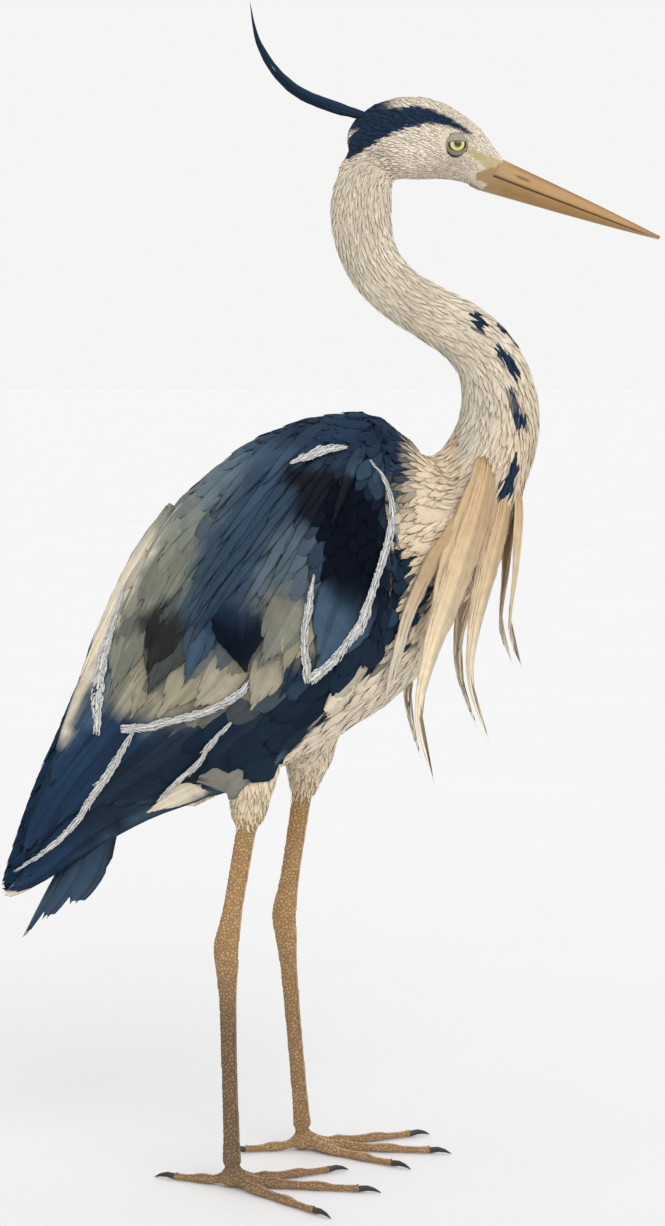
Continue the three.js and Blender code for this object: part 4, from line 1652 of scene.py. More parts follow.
@dataclass
class SoftCoat:
    """Short feathers of head, neck, body and thighs, laid on the skin."""

    skin: Skin
    layer: Layer
    wardrobe: Wardrobe

    SHOWN = 0.82  # share of a feather's length where it takes its colour
    FACE = Vane(rows=3, columns=3, root=0.5, shoulder=0.5, point=0.75, fray=0.22, bow=0.04)
    # Painted light: the head's tints are raised by about a sixth against the shade in the gaps between
    # its small feathers.
    FACE_GAIN = np.array((1.16, 1.15, 1.17))
    THROAT = Vane(rows=4, columns=5, root=0.5, shoulder=0.45, point=0.85, fray=0.3, bow=0.09)
    CONTOUR = Vane(rows=5, columns=5, root=0.45, shoulder=0.5, point=0.6, fray=0.22, bow=0.08)

    def build(self) -> list[Piece]:
        """Lay the four coats.

        Returns:
            Their objects.
        """
        return [self._head(), self._neck(), self._body(), self._thighs()]

    def _common(
        self, name: str, places: Pair, vane: Vane, length: Array, width: Array,
        sink: float, lift: Array, colour: Field, finish: Material,
        lie: Optional[Array] = None, fringe: float = 0.25, yaw: float = 0.16, seed: int = 1,
    ) -> Piece:
        """Lay a coat whose feathers share one kind of vane.

        Args:
            name: Name of the coat.
            places: Roots and ways out of the skin.
            vane: Kind of feather.
            length: Length of each feather, in millimetres.
            width: Width of each feather.
            sink: Height of each root over the skin.
            lift: Height of each tip over the skin.
            colour: Gives the colour of the coat at any place.
            finish: Material of the feathers.
            lie: Direction of each feather, where it isn't the coat's own.
            fringe: Strength of the pale fringe.
            yaw: How far feathers turn from the lie, in radians.
            seed: Seed of the differences between feathers.

        Returns:
            The coat's object.
        """
        points, normals = places
        rng = np.random.default_rng(seed)
        count = len(points)
        heading = SPINE.lie(points, normals) if lie is None else in_surface(lie, normals)
        side = np.cross(normals, heading)
        heading = unit(heading + side * rng.normal(0, yaw, count)[:, None])
        vary = rng.uniform(0.85, 1.15, count)
        seen = points + heading * (length * self.SHOWN)[:, None]
        tint = colour(seen) * rng.uniform(0.9, 1.08, count)[:, None]
        edge = np.clip(tint * 1.25 + 0.05, 0, 0.9)
        strength = fringe * rng.uniform(0.3, 1.2, count)
        moulds = [vane.mould(seed * 50 + i) for i in range(8)]
        roots = Roots(
            points=points, stand=normals, lie=heading, length=length * vary,
            width=width * rng.uniform(0.88, 1.12, count), sink=np.full(count, sink),
            lift=lift * rng.uniform(0.75, 1.15, count), kind=rng.integers(0, 8, count),
            tint=np.clip(tint, 0, 1), fringe=np.column_stack([edge, np.clip(strength, 0, 1)]),
            map_place=SPINE.unwrap(points),
        )
        return self.layer.lay(name, roots, moulds, finish, "pale_feather")

    def _head(self) -> Piece:
        """Lay the short feathers of the face and crown."""

        def keep(points: Array) -> Array:
            """Return whether a place is on the feathered part of the head."""
            region, _, _ = SPINE.locate(points)
            side = np.abs(points[:, 1])
            eye = np.hypot(points[:, 0] - EYE_CENTRE[0], points[:, 2] - EYE_CENTRE[2])
            bare = (eye < 7.2) & (side > 8)
            face = (bare_lore(points) > 0.5) | (gape_corner(points) > 0.5)
            return (region == Region.HEAD.value) & ~bare & ~face & (points[:, 2] > 715)

        def size(points: Array) -> Array:
            """Return feather length, which grows from the bill to the nape."""
            return 4.2 + 5.2 * smooth(132, 60, points[:, 0])

        places = scatter(self.skin, keep, lambda p: 1.18 + 0.15 * (size(p) - 4.2), 3)
        points, normals = places
        length = size(points)
        flat = np.zeros(len(points))
        back = np.column_stack([flat - 1, flat, (points[:, 2] - 748) * 0.012])
        heading = SPINE.lie(points, normals) * 0.35 + unit(back) * 0.65
        # The head's tints are lifted as painted light, against the shade between the small feathers.
        return self._common(
            "coat_head", places, self.FACE, length * 1.35, length * 0.44, -0.4,
            0.2 + 0.045 * length, lambda p: MARKINGS.body(p) * self.FACE_GAIN, self.wardrobe.tuft,
            heading, fringe=0.12, yaw=0.12, seed=2,
        )

    def _neck(self) -> Piece:
        """Lay the narrow feathers of the neck."""

        def keep(points: Array) -> Array:
            """Return whether a place is on the neck."""
            return SPINE.locate(points)[0] == Region.NECK.value

        def spacing(points: Array) -> Array:
            """Return the distance between roots, which grows towards the breast."""
            _, along, _ = SPINE.locate(points)
            share = (along - SPINE.first[Region.NECK]) / 330
            return 2.5 + 1.2 * np.clip(share, 0, 1)

        places = scatter(self.skin, keep, spacing, 5)
        points, _ = places
        gap = spacing(points)
        return self._common(
            "coat_neck", places, self.THROAT, gap * 5.2, gap * 1.3, -0.5,
            0.7 + 0.2 * gap, MARKINGS.body, self.wardrobe.tuft, fringe=0.2, yaw=0.1, seed=3,
        )

    def _body(self) -> Piece:
        """Lay the contour feathers of breast, belly, flanks and back."""

        def keep(points: Array) -> Array:
            """Return whether a place is on the body and not under a wing."""
            region, _, _ = SPINE.locate(points)
            under_wing = in_wing(points, 0.5) & (np.abs(points[:, 1]) > UNDER_WING)
            leg = (points[:, 2] < 314) & (points[:, 0] > -70)
            high = (points[:, 2] > 200) & (points[:, 0] > -205)
            return (region == Region.BODY.value) & ~under_wing & ~leg & high

        def spacing(points: Array) -> Array:
            """Return the distance between roots."""
            return 4.2 + 2.0 * smooth(110, 30, points[:, 0])

        places = scatter(self.skin, keep, spacing, 7)
        points, normals = places
        gap = spacing(points)
        heading = SPINE.lie(points, normals)
        length = gap * 5.0
        for share in (0.8, 0.6, 0.45):
            tips = points + heading * length[:, None]
            covers = in_wing(tips, 3.0) & (np.abs(tips[:, 1]) > 24)
            length = np.where(covers, gap * 5.0 * share, length)
        return self._common(
            "coat_body", places, self.CONTOUR, length, gap * 1.65, -0.7,
            0.9 + 0.14 * gap, MARKINGS.body, self.wardrobe.feather, fringe=0.1, yaw=0.14, seed=4,
        )

    def _thighs(self) -> Piece:
        """Lay the soft feathers of the thighs, down to the cuffs."""

        def keep(points: Array) -> Array:
            """Return whether a place is on a thigh."""
            leg = (points[:, 2] < 326) & (over_cuff(points) > 270) & (points[:, 0] > -78)
            return leg & ~in_wing(points, 4.0)

        places = scatter(self.skin, keep, lambda p: 3.0 + 0 * p[:, 0], 9)
        points, _ = places
        down = np.tile((-0.12, 0.0, -1.0), (len(points), 1))
        length = 9 + 8 * smooth(276, 306, points[:, 2])
        return self._common(
            "coat_thighs", places, self.THROAT, length, length * 0.33, -0.3,
            0.8 + 0.07 * length, MARKINGS.thigh, self.wardrobe.tuft, down, fringe=0.2, yaw=0.14, seed=5,
        )


def wedge(points: Array, start: Flat, end: Flat, half: float) -> Array:
    """Return how far places lie in a wedge that widens from its start, seen from the side.

    Args:
        points: Places on the bird, one to a row.
        start: X and Z of the narrow end.
        end: X and Z of the middle of the broad end.
        half: Half width of the broad end.

    Returns:
        1 inside, 0 outside and a narrow step between.
    """
    run = np.array(end, float) - start
    length = np.linalg.norm(run)
    ahead = run / length
    offset = points[:, [0, 2]] - start
    share = offset @ ahead / length
    beside = np.abs(offset @ np.array((-ahead[1], ahead[0])))
    reach = half * (0.25 + 0.75 * np.clip(share, 0, 1))
    return smooth(0.5, -0.5, beside - reach) * smooth(-0.03, 0.03, share) * (share < 1.4)


def bare_lore(points: Array) -> Array:
    """Return how far places lie on the bare skin between the eye and the bill."""
    return wedge(points, (117.5, 755.5), (139, 743.5), 5.4)


def gape_corner(points: Array) -> Array:
    """Return how far places lie on the horny corner of the mouth, behind the bill."""
    return wedge(points, (126.5, 735.5), (144, 735.0), 8.5)


def over_cuff(points: Array) -> Array:
    """Return heights counted as if the left cuff were as low as the right one."""
    return points[:, 2] - np.where(points[:, 1] > 0, LEFT_CUFF_RISE, 0.0)


def in_wing(points: Array, margin: float) -> Array:
    """Return whether places lie inside the outline of the folded wing, seen from the side.

    Args:
        points: Places on the bird, one to a row.
        margin: How far inside the outline a place must be, in millimetres.

    Returns:
        True where the wing covers the place.
    """
    ring = np.array([*WING_UPPER_EDGE, *reversed(WING_LOWER_EDGE)], float)
    flat = points[:, [0, 2]]
    after = np.roll(ring, -1, axis=0)
    inside = np.zeros(len(points), bool)
    nearest = np.full(len(points), 1e9)
    for (x, z), (x2, z2) in zip(ring, after):
        if (x, z) != (x2, z2):
            nearest = np.minimum(nearest, beside_line(flat, (x, z), (x2, z2))[1])
        if z != z2:
            crosses = (z > flat[:, 1]) != (z2 > flat[:, 1])
            at = x + (flat[:, 1] - z) / (z2 - z) * (x2 - x)
            inside ^= crosses & (flat[:, 0] < at)
    return inside & (nearest > margin)


# --------------------------------------------------------------------------------------
# Long feathers, each swept along its own path on a surface
# --------------------------------------------------------------------------------------


class SkinProbe:
    """Finds the skin from outside, in millimetres on the bird."""

    REACH = 300.0

    def __init__(self, skin: Skin) -> None:
        """Build the search tree from the skin's triangles."""
        self.skin = skin
        self.tree = BVHTree.FromPolygons(skin.points.tolist(), skin.triangles.tolist())

    def from_side(self, x: float, z: float, side: Side) -> Optional[Pair]:
        """Return the outermost place of the skin at x and z, and the way out of it there."""
        start = Vector((x, side.value * self.REACH, z))
        hit, normal, _, _ = self.tree.ray_cast(start, Vector((0, -side.value, 0)), self.REACH - 1)
        return None if hit is None else (np.array(hit), np.array(normal))

    def nearest(self, points: Array) -> Pair:
        """Return the nearest places of the skin and the ways out of it there."""
        places, ways = np.empty((len(points), 3)), np.empty((len(points), 3))
        for row, point in enumerate(points):
            hit, _, face, _ = self.tree.find_nearest(Vector(point))
            corners = self.skin.triangles[face]
            ways[row] = self.skin.normals[corners].mean(axis=0)
            places[row] = hit
        return places, unit(ways)


class SideGuide:
    """The wing's side as a height over the middle plane, carried on past its edge."""

    STEP = 5.0
    ROUNDS = 900
    SOFT_ROUNDS = 9

    def __init__(self, probe: SkinProbe, side: Side) -> None:
        """Measure the skin inside the wing's outline and fill the rest smoothly.

        Args:
            probe: Finds the skin.
            side: Side of the bird.
        """
        self.side = side
        self.x = np.arange(-270, 115, self.STEP)
        self.z = np.arange(150, 625, self.STEP)
        grid = np.array([(x, 0.0, z) for x in self.x for z in self.z])
        inside = in_wing(grid, 5.0)
        height = np.zeros(len(grid))
        known = np.zeros(len(grid), bool)
        for row in np.flatnonzero(inside):
            found = probe.from_side(grid[row, 0], grid[row, 2], side)
            if found is not None:
                height[row] = abs(found[0][1])
                known[row] = True
        height[~known] = height[known].mean()
        shape = (len(self.x), len(self.z))
        self.height = self._fill(height.reshape(shape), known.reshape(shape))
        slope = np.gradient(self.height, self.STEP)
        way = np.stack([-slope[0], np.full(shape, float(side.value)), -slope[1]], axis=2)
        self.way = unit(way)

    @classmethod
    def _fill(cls, height: Array, known: Array) -> Array:
        """Return the heights with the unknown ones relaxed, and all of them softened."""
        for turn in range(cls.ROUNDS):
            wide = np.pad(height, 1, mode="edge")
            near = (wide[:-2, 1:-1] + wide[2:, 1:-1] + wide[1:-1, :-2] + wide[1:-1, 2:]) / 4
            height = np.where(known, height, near)
            if turn >= cls.ROUNDS - cls.SOFT_ROUNDS:
                height = 0.5 * height + 0.5 * near
        return height

    def __call__(self, flat: Array) -> Pair:
        """Return places on the guide and the ways out of it.

        Args:
            flat: X and Z of each place.

        Returns:
            The places and unit vectors.
        """
        i = np.clip((flat[:, 0] - self.x[0]) / self.STEP, 0, len(self.x) - 1.001)
        j = np.clip((flat[:, 1] - self.z[0]) / self.STEP, 0, len(self.z) - 1.001)
        row, column = i.astype(int), j.astype(int)
        u, v = (i - row)[:, None], (j - column)[:, None]
        both = np.concatenate([self.height[..., None], self.way], axis=2)
        found = (
            both[row, column] * (1 - u) * (1 - v)
            + both[row + 1, column] * u * (1 - v)
            + both[row, column + 1] * (1 - u) * v
            + both[row + 1, column + 1] * u * v
        )
        places = np.column_stack([flat[:, 0], self.side.value * found[:, 0], flat[:, 1]])
        return places, unit(found[:, 1:])


class Ribbon:
    """A strip along a path in space, whose flat faces a given way."""

    def __init__(self, path: Sequence[Sequence[float]], face: Sequence[float], cup: float = 0.0) -> None:
        """Set the frames along the path.

        Args:
            path: Points along the middle of the strip.
            face: The way that the flat of the strip looks.
            cup: How much the edges fall back, for each square millimetre across.
        """
        self.centre = resample(path, 80)
        run = unit(np.gradient(self.centre, axis=0))
        self.across = unit(np.cross(np.array(face, float), run))
        self.stand = unit(np.cross(run, self.across))
        self.reach = travelled(self.centre)
        self.length = float(self.reach[-1])
        self.cup = cup

    def __call__(self, flat: Array) -> Pair:
        """Return places on the strip and the ways out of it.

        Args:
            flat: Distance along the path and distance across it of each place.

        Returns:
            The places and unit vectors.
        """
        frames = (self.centre, self.across, self.stand)
        centre, across, stand = (columns_at(flat[:, 0], self.reach, rows) for rows in frames)
        over = np.maximum(flat[:, 0] - self.length, 0)[:, None]
        ahead = unit(self.centre[-1] - self.centre[-3])
        stand = unit(stand)
        beside = flat[:, 1:2]
        places = centre + across * beside + ahead * over
        return places - stand * self.cup * beside**2, stand


@dataclass
class Spray:
    """Feathers swept one by one along paths on a surface, joined into one mesh.

    The patch is the width and height of each feather's own place on the map for baking.
    """

    name: str
    patch: Flat = (0.01, 0.02)
    shells: list[Shell] = field(default_factory=list)
    count: int = 0

    def sweep(
        self, mould: Mould, surface: Callable[[Array], Pair], path: Array, width: float, heights: Flat,
        colour: Field, fringe: Field, map_place: Flat,
    ) -> None:
        """Add one feather.

        Args:
            mould: Shape of the feather.
            surface: Gives the place and the way out for flat coordinates.
            path: Flat coordinates of the shaft from root to tip.
            width: Width of the feather, in millimetres.
            heights: Height over the surface at the root and at the tip.
            colour: Gives the tint at places.
            fringe: Gives the fringe's colour and strength at places.
            map_place: Middle of the feather's patch on the map for baking.
        """
        spine = resample(path, 40)
        share = np.linspace(0, 1, 40)
        across, along, out = mould.points.T
        turn = unit(columns_at(along, share, beside_path(spine)))
        flat = columns_at(along, share, spine) + turn * (across * width)[:, None]
        places, way_out = surface(flat)
        rise = heights[0] + (heights[1] - heights[0]) * np.clip(along, 0, 1)
        points = places + way_out * (rise + out * width)[:, None]
        span = np.full(len(points), travelled(spine)[-1])
        baked = np.array(map_place) + (mould.place - 0.5) * self.patch
        self.shells.append(
            Shell(
                points, [tuple(corner + self.count for corner in face) for face in mould.faces],
                {"Tint": opaque(colour(points)), "Fringe": fringe(points), "Span": span},
                {"FeatherUV": mould.place, "OFBake": baked},
            )
        )
        self.count += len(points)

    def build(self, finish: Material, slot: str, *nodes: str) -> Piece:
        """Join the feathers into one piece, fixed to the body.

        Args:
            finish: Material of the feathers.
            slot: Not used.
            nodes: Names of the solids that they replace.

        Returns:
            The piece.
        """
        first, shells = self.shells[0], self.shells
        joined = Shell(
            np.vstack([shell.points for shell in shells]),
            [face for shell in shells for face in shell.faces],
            {key: np.concatenate([shell.per_point[key] for shell in shells]) for key in first.per_point},
            {key: np.vstack([shell.uv_maps[key] for shell in shells]) for key in first.uv_maps},
        )
        return hand_in(joined.to_object(self.name, finish), slot, *nodes)


def tinted(tone: Array, tip: Optional[Array] = None, low: float = 0.0, high: float = 1.0) -> Field:
    """Return a colour function that goes from one colour to another as Z falls.

    Args:
        tone: Colour at the root.
        tip: Colour at the tip, or None for the same colour.
        low: Z at which the tip's colour is reached.
        high: Z at which it begins.

    Returns:
        A function of places that gives colours.
    """
    end = tone if tip is None else tip
    return lambda points: tone + (end - tone) * smooth(high, low, points[:, 2])[:, None]


def edged(tone: Array, strength: float) -> Field:
    """Return a fringe function with one colour and one strength."""
    return lambda points: np.tile((*tone, strength), (len(points), 1))


def shaded(tones: Field, gain: float, lift: float = 0.0) -> Field:
    """Return a colour function made lighter or darker."""
    return lambda points: np.clip(tones(points) * gain + lift, 0, 1)


@dataclass(frozen=True)
class Lappet:
    """A bundle of long plumes that end in one point, as X and Z from root to tip."""

    tone: Tone
    half: float  # half width of the bundle
    path: tuple[Flat, ...]
    count: int = 5
    low: float = 4.0  # height of the roots
    high: float = 6.6  # height of the tips


@dataclass
class Wing:
    """One folded wing: flight feathers, rows of coverts, shoulder plumes and pale edges.

    PALE_EDGES are lines of small white fringes: X, Z and half width at each point.
    """

    side: Side
    probe: SkinProbe
    layer: Layer
    wardrobe: Wardrobe
    covert_end: float = 0.60
    length: float = 430.0

    QUILL = Vane(
        rows=18, columns=7, root=0.55, shoulder=0.62, point=0.55, fray=0.03, bow=0.085,
        thickness=0.03, slant=0.04,
    )
    COVERT = Vane(
        rows=7, columns=7, root=0.45, shoulder=0.55, point=0.6, fray=0.12, bow=0.085, thickness=0.035
    )
    LANCE = Vane(
        rows=14, columns=5, root=0.5, shoulder=0.35, point=0.95, fray=0.16, bow=0.12, thickness=0.05
    )
    STRAND = Vane(
        rows=8, columns=3, root=0.4, shoulder=0.4, point=0.9, fray=0.4, bow=0.02, thickness=0.04
    )
    LAPPETS = (
        Lappet(Tone.NAPE, 6, ((-90, 495), (-114, 458), (-133, 419), (-152, 381), (-167, 341)), 6),
        Lappet(Tone.NAPE, 6, ((-62, 300), (-88, 289), (-118, 272)), 6, 4.6, 5.4),
        Lappet(Tone.SAND, 8, ((-94, 401), (-108, 371), (-121, 345)), 5, 4.6, 6.4),
        Lappet(Tone.SAND, 11, ((-58, 410), (-80, 376), (-103, 347)), 6, 4.6, 6.4),
        Lappet(Tone.STRAW, 10, ((-39, 403), (-57, 375), (-80, 355)), 6, 4.6, 6.6),
        Lappet(Tone.STRAW, 9, ((-14, 405), (-24, 379), (-36, 356)), 6, 4.6, 6.8),
        Lappet(Tone.OLIVE, 10, ((-104, 442), (-120, 399), (-135, 356)), 6, 4.8, 7.2),
        Lappet(Tone.MOSS, 13, ((-80, 436), (-93, 399), (-107, 363)), 7, 4.8, 7.4),
        Lappet(Tone.SOOT, 9, ((-84, 428), (-96, 405), (-106, 379)), 5, 5.6, 7.9),
        Lappet(Tone.SLATE, 8, ((-60, 433), (-71, 402), (-80, 373)), 5, 4.8, 7.2),
        Lappet(Tone.OLIVE, 12, ((5, 445), (-12, 415), (-29, 386)), 6, 4.6, 7.0),
        Lappet(Tone.SAND, 9, ((9, 438), (-1, 413), (-12, 383)), 5, 4.6, 7.0),
        Lappet(Tone.INK, 14, ((-39, 445), (-41, 414), (-36, 382)), 8, 5.0, 7.6),
        Lappet(Tone.NAVY, 5, ((7, 413), (-2, 389), (-16, 365)), 3, 5.4, 7.6),
        Lappet(Tone.SLATE, 16, ((41, 453), (28, 418), (10, 383)), 8, 5.0, 6.3),
    )
    SKIRT = (
        Lappet(Tone.NAPE, 4, ((40, 352), (31, 332), (24, 311)), 6, 4.8, 4.2),
        Lappet(Tone.NAPE, 4, ((30, 350), (22, 329), (15, 305)), 6, 5.0, 4.4),
        Lappet(Tone.NAPE, 4, ((20, 347), (12, 326), (6, 302)), 6, 4.8, 4.2),
        Lappet(Tone.NAPE, 4, ((10, 340), (4, 321), (-1, 299)), 6, 5.0, 4.4),
        Lappet(Tone.NAPE, 4, ((-1, 331), (-6, 315), (-9, 297)), 6, 4.8, 4.2),
    )
    PALE_EDGES = (
        ((-123, 439, 1), (-130, 413, 2), (-137, 391, 3.4), (-142, 366, 4.4), (-144, 333, 1.6)),
        (
            (-127, 340, 3), (-107, 343, 2.8), (-89, 349, 2.6), (-64, 357, 2.6), (-42, 370, 2.6),
            (-34, 381, 1),
        ),
        (
            (-118, 339, 1.2), (-132, 315, 2.4), (-148, 292, 2.4), (-163, 269, 2.2), (-184, 247, 1.6),
            (-212, 228, 1),
        ),
        ((-48, 349, 1), (-63, 332, 2), (-74, 316, 2), (-90, 302, 1.8), (-105, 286, 1)),
        (
            (50, 530, 0.5), (59, 519, 1), (64, 504, 1.6), (64.5, 488, 2.4), (59, 468, 2.4),
            (52, 446, 2.3), (46, 428, 3), (40, 416, 4), (33, 407, 2.8), (22, 393, 3.2), (6, 379, 3.8),
        ),
        ((-5, 527, 0.8), (5, 531, 2.2), (16, 535, 2.8), (26, 537, 1.8), (36, 538, 1)),
        ((6, 378, 3), (4, 407, 2.4), (7, 432, 2.2), (11, 455, 0.8)),
    )

    def __post_init__(self) -> None:
        """Resample the wing's edges and measure its side."""
        self.upper = resample(WING_UPPER_EDGE, 101)
        self.lower = resample(WING_LOWER_EDGE, 101)
        self.guide = SideGuide(self.probe, self.side)

    def at(self, along: Array, down: Array) -> Array:
        """Return X and Z on the wing.

        Args:
            along: Share of the way from shoulder to tip.
            down: Share of the way from the upper to the lower edge.

        Returns:
            X and Z, one pair to a row.
        """
        share = np.linspace(0, 1, 101)
        high, low = (columns_at(along, share, edge) for edge in (self.upper, self.lower))
        return high + (low - high) * np.asarray(down)[..., None]

    def build(self) -> list[Piece]:
        """Make the five pieces of the wing.

        Returns:
            Their objects.
        """
        return [self._flight(), self._coverts(), self._scapulars(), self._lappets(), self._pale_edges()]

    def _flight(self) -> Piece:
        """Sweep primaries, secondaries and tertials along the wing."""
        rng = np.random.default_rng(60)
        spray = Spray(f"flight_{self.side.tag}", (0.008, 0.012))
        moulds = [self.QUILL.mould(600 + i) for i in range(8)]
        rows: list[tuple[float, float, float, float, float, float]] = []
        # start and end along the wing, share down it, width, and heights of root and tip
        for i in range(7):  # primaries
            down = 0.95 - 0.12 * i
            rows.append((0.54, 1.0 - 0.018 * i, down, 21, -1.5 + 0.3 * i, 0.4 + 0.75 * i))
        for i in range(9):  # secondaries
            down = 0.93 - 0.075 * i
            rows.append((0.40, 0.72 + 0.026 * i, down, 25, 0.3 + 0.25 * i, 1.4 + 0.62 * i))
        for i in range(5):  # tertials
            down = 0.42 - 0.07 * i
            rows.append((0.46, 0.92 - 0.035 * i, down, 29 - i, 1.6 + 0.3 * i, 5.0 + 0.5 * i))
        for number, (start, end, down, width, low, high) in enumerate(rows):
            reach = np.linspace(start, end + rng.uniform(-0.008, 0.008), 12)
            path = self.at(reach, np.full(12, down))
            shade = (0.80, 1.12, 0.92, 1.24)[number % 4] * rng.uniform(0.94, 1.06)
            spray.sweep(
                moulds[number % 8], self.guide, path, width * rng.uniform(0.94, 1.06), (low, high),
                shaded(lambda p: MARKINGS.wing(p, long=True), shade),
                edged(Tone.SLATE.linear * 1.5, 0.22),
                (0.04 + 0.9 * start + 0.02 * (number % 3), 0.04 + 0.92 * down),
            )
        under = ((-146, 268), (-176, 242), (-205, 219), (-219, 211))
        spray.sweep(
            moulds[0], self.guide, resample(under, 12), 15.0, (-2.6, -1.6), tinted(Tone.NAPE.linear),
            edged(Tone.WHITE.linear, 0.2), (0.9, 0.96),
        )
        return spray.build(self.wardrobe.quill, "ink_feather")

    def _rows(self) -> tuple[Array, Array, Array, Array]:
        """Return roots of the coverts in rows across the wing.

        Returns:
            Places, ways out of the skin, directions and the share of the wing's length.
        """
        places, ways, headings, shares = [], [], [], []
        along, row = 0.012, 0
        while along < self.covert_end:
            gap = self._exposure(along)
            flat = self.at(np.full(90, along), np.linspace(-0.03, 1.0, 90))
            ahead = self.at(np.full(90, along + 0.02), np.linspace(-0.03, 1.0, 90)) - flat
            found = [self.probe.from_side(x, z, self.side) for x, z in flat]
            seen = [i for i, hit in enumerate(found) if hit is not None]
            if len(seen) > 4:
                line = np.array([found[i][0] for i in seen])
                way = np.array([found[i][1] for i in seen])
                lie = np.array([(ahead[i, 0], 0.0, ahead[i, 1]) for i in seen])
                reach = travelled(line)
                pitch = gap * 1.05
                spots = np.arange(pitch * (0.25 + 0.5 * (row % 2)), reach[-1], pitch)
                for rows, kept in ((places, line), (ways, way), (headings, lie)):
                    rows.append(columns_at(spots, reach, kept))
                shares.append(np.full(len(spots), along))
            along += gap / self.length
            row += 1
        return (np.vstack(places), unit(np.vstack(ways)), np.vstack(headings), np.concatenate(shares))

    def _scapulars(self) -> Piece:
        """Sweep the long plumes of the shoulder over the upper part of the wing."""
        rng = np.random.default_rng(80)
        spray = Spray(f"scapulars_{self.side.tag}", (0.005, 0.012))
        moulds = [self.LANCE.mould(820 + i) for i in range(6)]
        plan = (
            (0.42, 6, 96, 0.10), (0.36, 7, 104, 0.12), (0.29, 8, 100, 0.14), (0.22, 8, 92, 0.17),
            (0.15, 7, 82, 0.20), (0.09, 5, 66, 0.24),
        )
        for row, (start, count, length, first) in enumerate(plan):
            for number in range(count):
                down = first + 0.36 * (number + 0.5 * (row % 2)) / count
                begin = start + rng.normal(0, 0.012)
                span = length * rng.uniform(0.85, 1.15) / self.length
                reach = np.linspace(begin, begin + span, 12)
                drift = down + np.linspace(0, rng.normal(0.015, 0.015), 12)
                colour = shaded(MARKINGS.wing, rng.uniform(0.82, 1.12), 0.006)
                spray.sweep(
                    moulds[(row + number) % 6], self.guide, self.at(reach, drift), rng.uniform(8.5, 12.0),
                    (2.4, 5.4 + 0.3 * ((row + number) % 3)), colour, MARKINGS.wing_fringe,
                    (0.04 + 0.9 * start, 0.05 + 0.9 * down),
                )
        return spray.build(self.wardrobe.feather, "slate_feather")

    def _lappets(self) -> Piece:
        """Sweep the bundles of plumes that end in points over the middle of the wing."""
        rng = np.random.default_rng(84)
        spray = Spray(f"lappets_{self.side.tag}")
        moulds = [self.LANCE.mould(840 + i) for i in range(6)]
        plan = self.LAPPETS + (self.SKIRT if self.side is Side.LEFT else ())
        for row, lappet in enumerate(plan):
            spine = resample(lappet.path, 14)
            beside = beside_path(spine)
            share = np.linspace(0, 1, 14)
            for number in range(lappet.count):
                place = number / (lappet.count - 1) * 2 - 1
                spread = lappet.half * place * (1 - 0.85 * smooth(0.45, 1.0, share))
                reach = 1.0 - 0.26 * abs(place) ** 1.3 + rng.uniform(-0.03, 0.03)
                whole = spine + beside * spread[:, None]
                path = resample(whole[: max(6, int(round(14 * reach)))], 12)
                shade = rng.uniform(0.82, 1.18)
                rise = 0.5 * (1 - abs(place))
                spray.sweep(
                    moulds[(row + number) % 6], self.guide, path, lappet.half * 0.9 + 3.0,
                    (lappet.low - 3.6 + rise, lappet.high + rise), self._washed(lappet.tone, shade),
                    edged(np.clip(lappet.tone.linear * 1.4 + 0.03, 0, 1), 0.14),
                    (0.1 + 0.8 * row / len(plan), 0.1 + 0.8 * number / 8),
                )
        return spray.build(self.wardrobe.feather, "slate_feather")

    @staticmethod
    def _washed(tone: Tone, shade: float) -> Field:
        """Return a colour function that blends from the wing's own colour into a tone."""

        def colour(points: Array) -> Array:
            """Return the colour at each place."""
            base = MARKINGS.wing(points)
            share = 0.95 * smooth(0.05, 0.5, np.linspace(0, 1, len(points)))
            return np.clip((base + (tone.linear - base) * share[:, None]) * shade, 0, 1)

        return colour

    def _pale_edges(self) -> Piece:
        """Sweep fine pale strands along each pale line, as loose fringes of the feathers."""
        rng = np.random.default_rng(88)
        spray = Spray(f"pale_edges_{self.side.tag}")
        moulds = [self.STRAND.mould(880 + i) for i in range(8)]
        share = np.linspace(0, 1, 9)
        for row, edge in enumerate(self.PALE_EDGES):
            *columns, width = resample(edge, 80).T
            line = np.column_stack(columns)
            along = travelled(line)
            beside = beside_path(line)
            spray.patch = (0.01, 0.01)
            for number, begin in enumerate(np.arange(0, along[-1] - 6, 14.0)):
                reach = np.clip(begin + np.linspace(-5, 22, 9), 0, along[-1])
                reach = reach + np.linspace(0, 0.01, 9)
                spot = columns_at(reach, along, line)
                spray.sweep(
                    moulds[number % 8], self.guide, resample(spot, 9),
                    2.0 * float(np.interp(begin + 6, along, width)), (6.2, 7.5),
                    tinted(Tone.FRINGE.linear * 0.96), edged(Tone.FRINGE.linear, 0.2),
                    (0.1 + 0.8 * row / 7, 0.1 + 0.8 * number / 30),
                )
            spray.patch = (0.01, 0.004)
            start, number = -4.0, 0
            while start < along[-1] - 9:
                length = rng.uniform(6, 15)
                reach = np.clip(start + share * length, 0, along[-1])
                spot = columns_at(reach, along, line)
                way = unit(columns_at(reach, along, beside))
                half = np.interp(reach, along, width)
                place = rng.choice((-1, 1)) * rng.uniform(0.2, 1) ** 0.5
                wave = 0.2 * np.sin(share * rng.uniform(2, 6) + rng.uniform(0, 6))
                drift = (place * 0.8 + wave) * half + rng.normal(place, 0.7) * (share - 0.4)
                path = spot + way * drift[:, None] + share[:, None] * 0.001
                middle = float(half[4])
                spray.sweep(
                    moulds[(row + number) % 8], self.guide, resample(path, 9), 0.8 + 0.45 * middle,
                    (6.4, 7.7 + 0.1 * (number % 3)), tinted(Tone.FRINGE.linear * rng.uniform(0.92, 1.0)),
                    edged(Tone.FRINGE.linear, 0.2),
                    (0.1 + 0.8 * row / 7, 0.1 + 0.8 * (number % 200) / 200),
                )
                start += 3.2 / (0.6 + middle)
                number += 1
        return spray.build(self.wardrobe.tuft, "cream_feather")

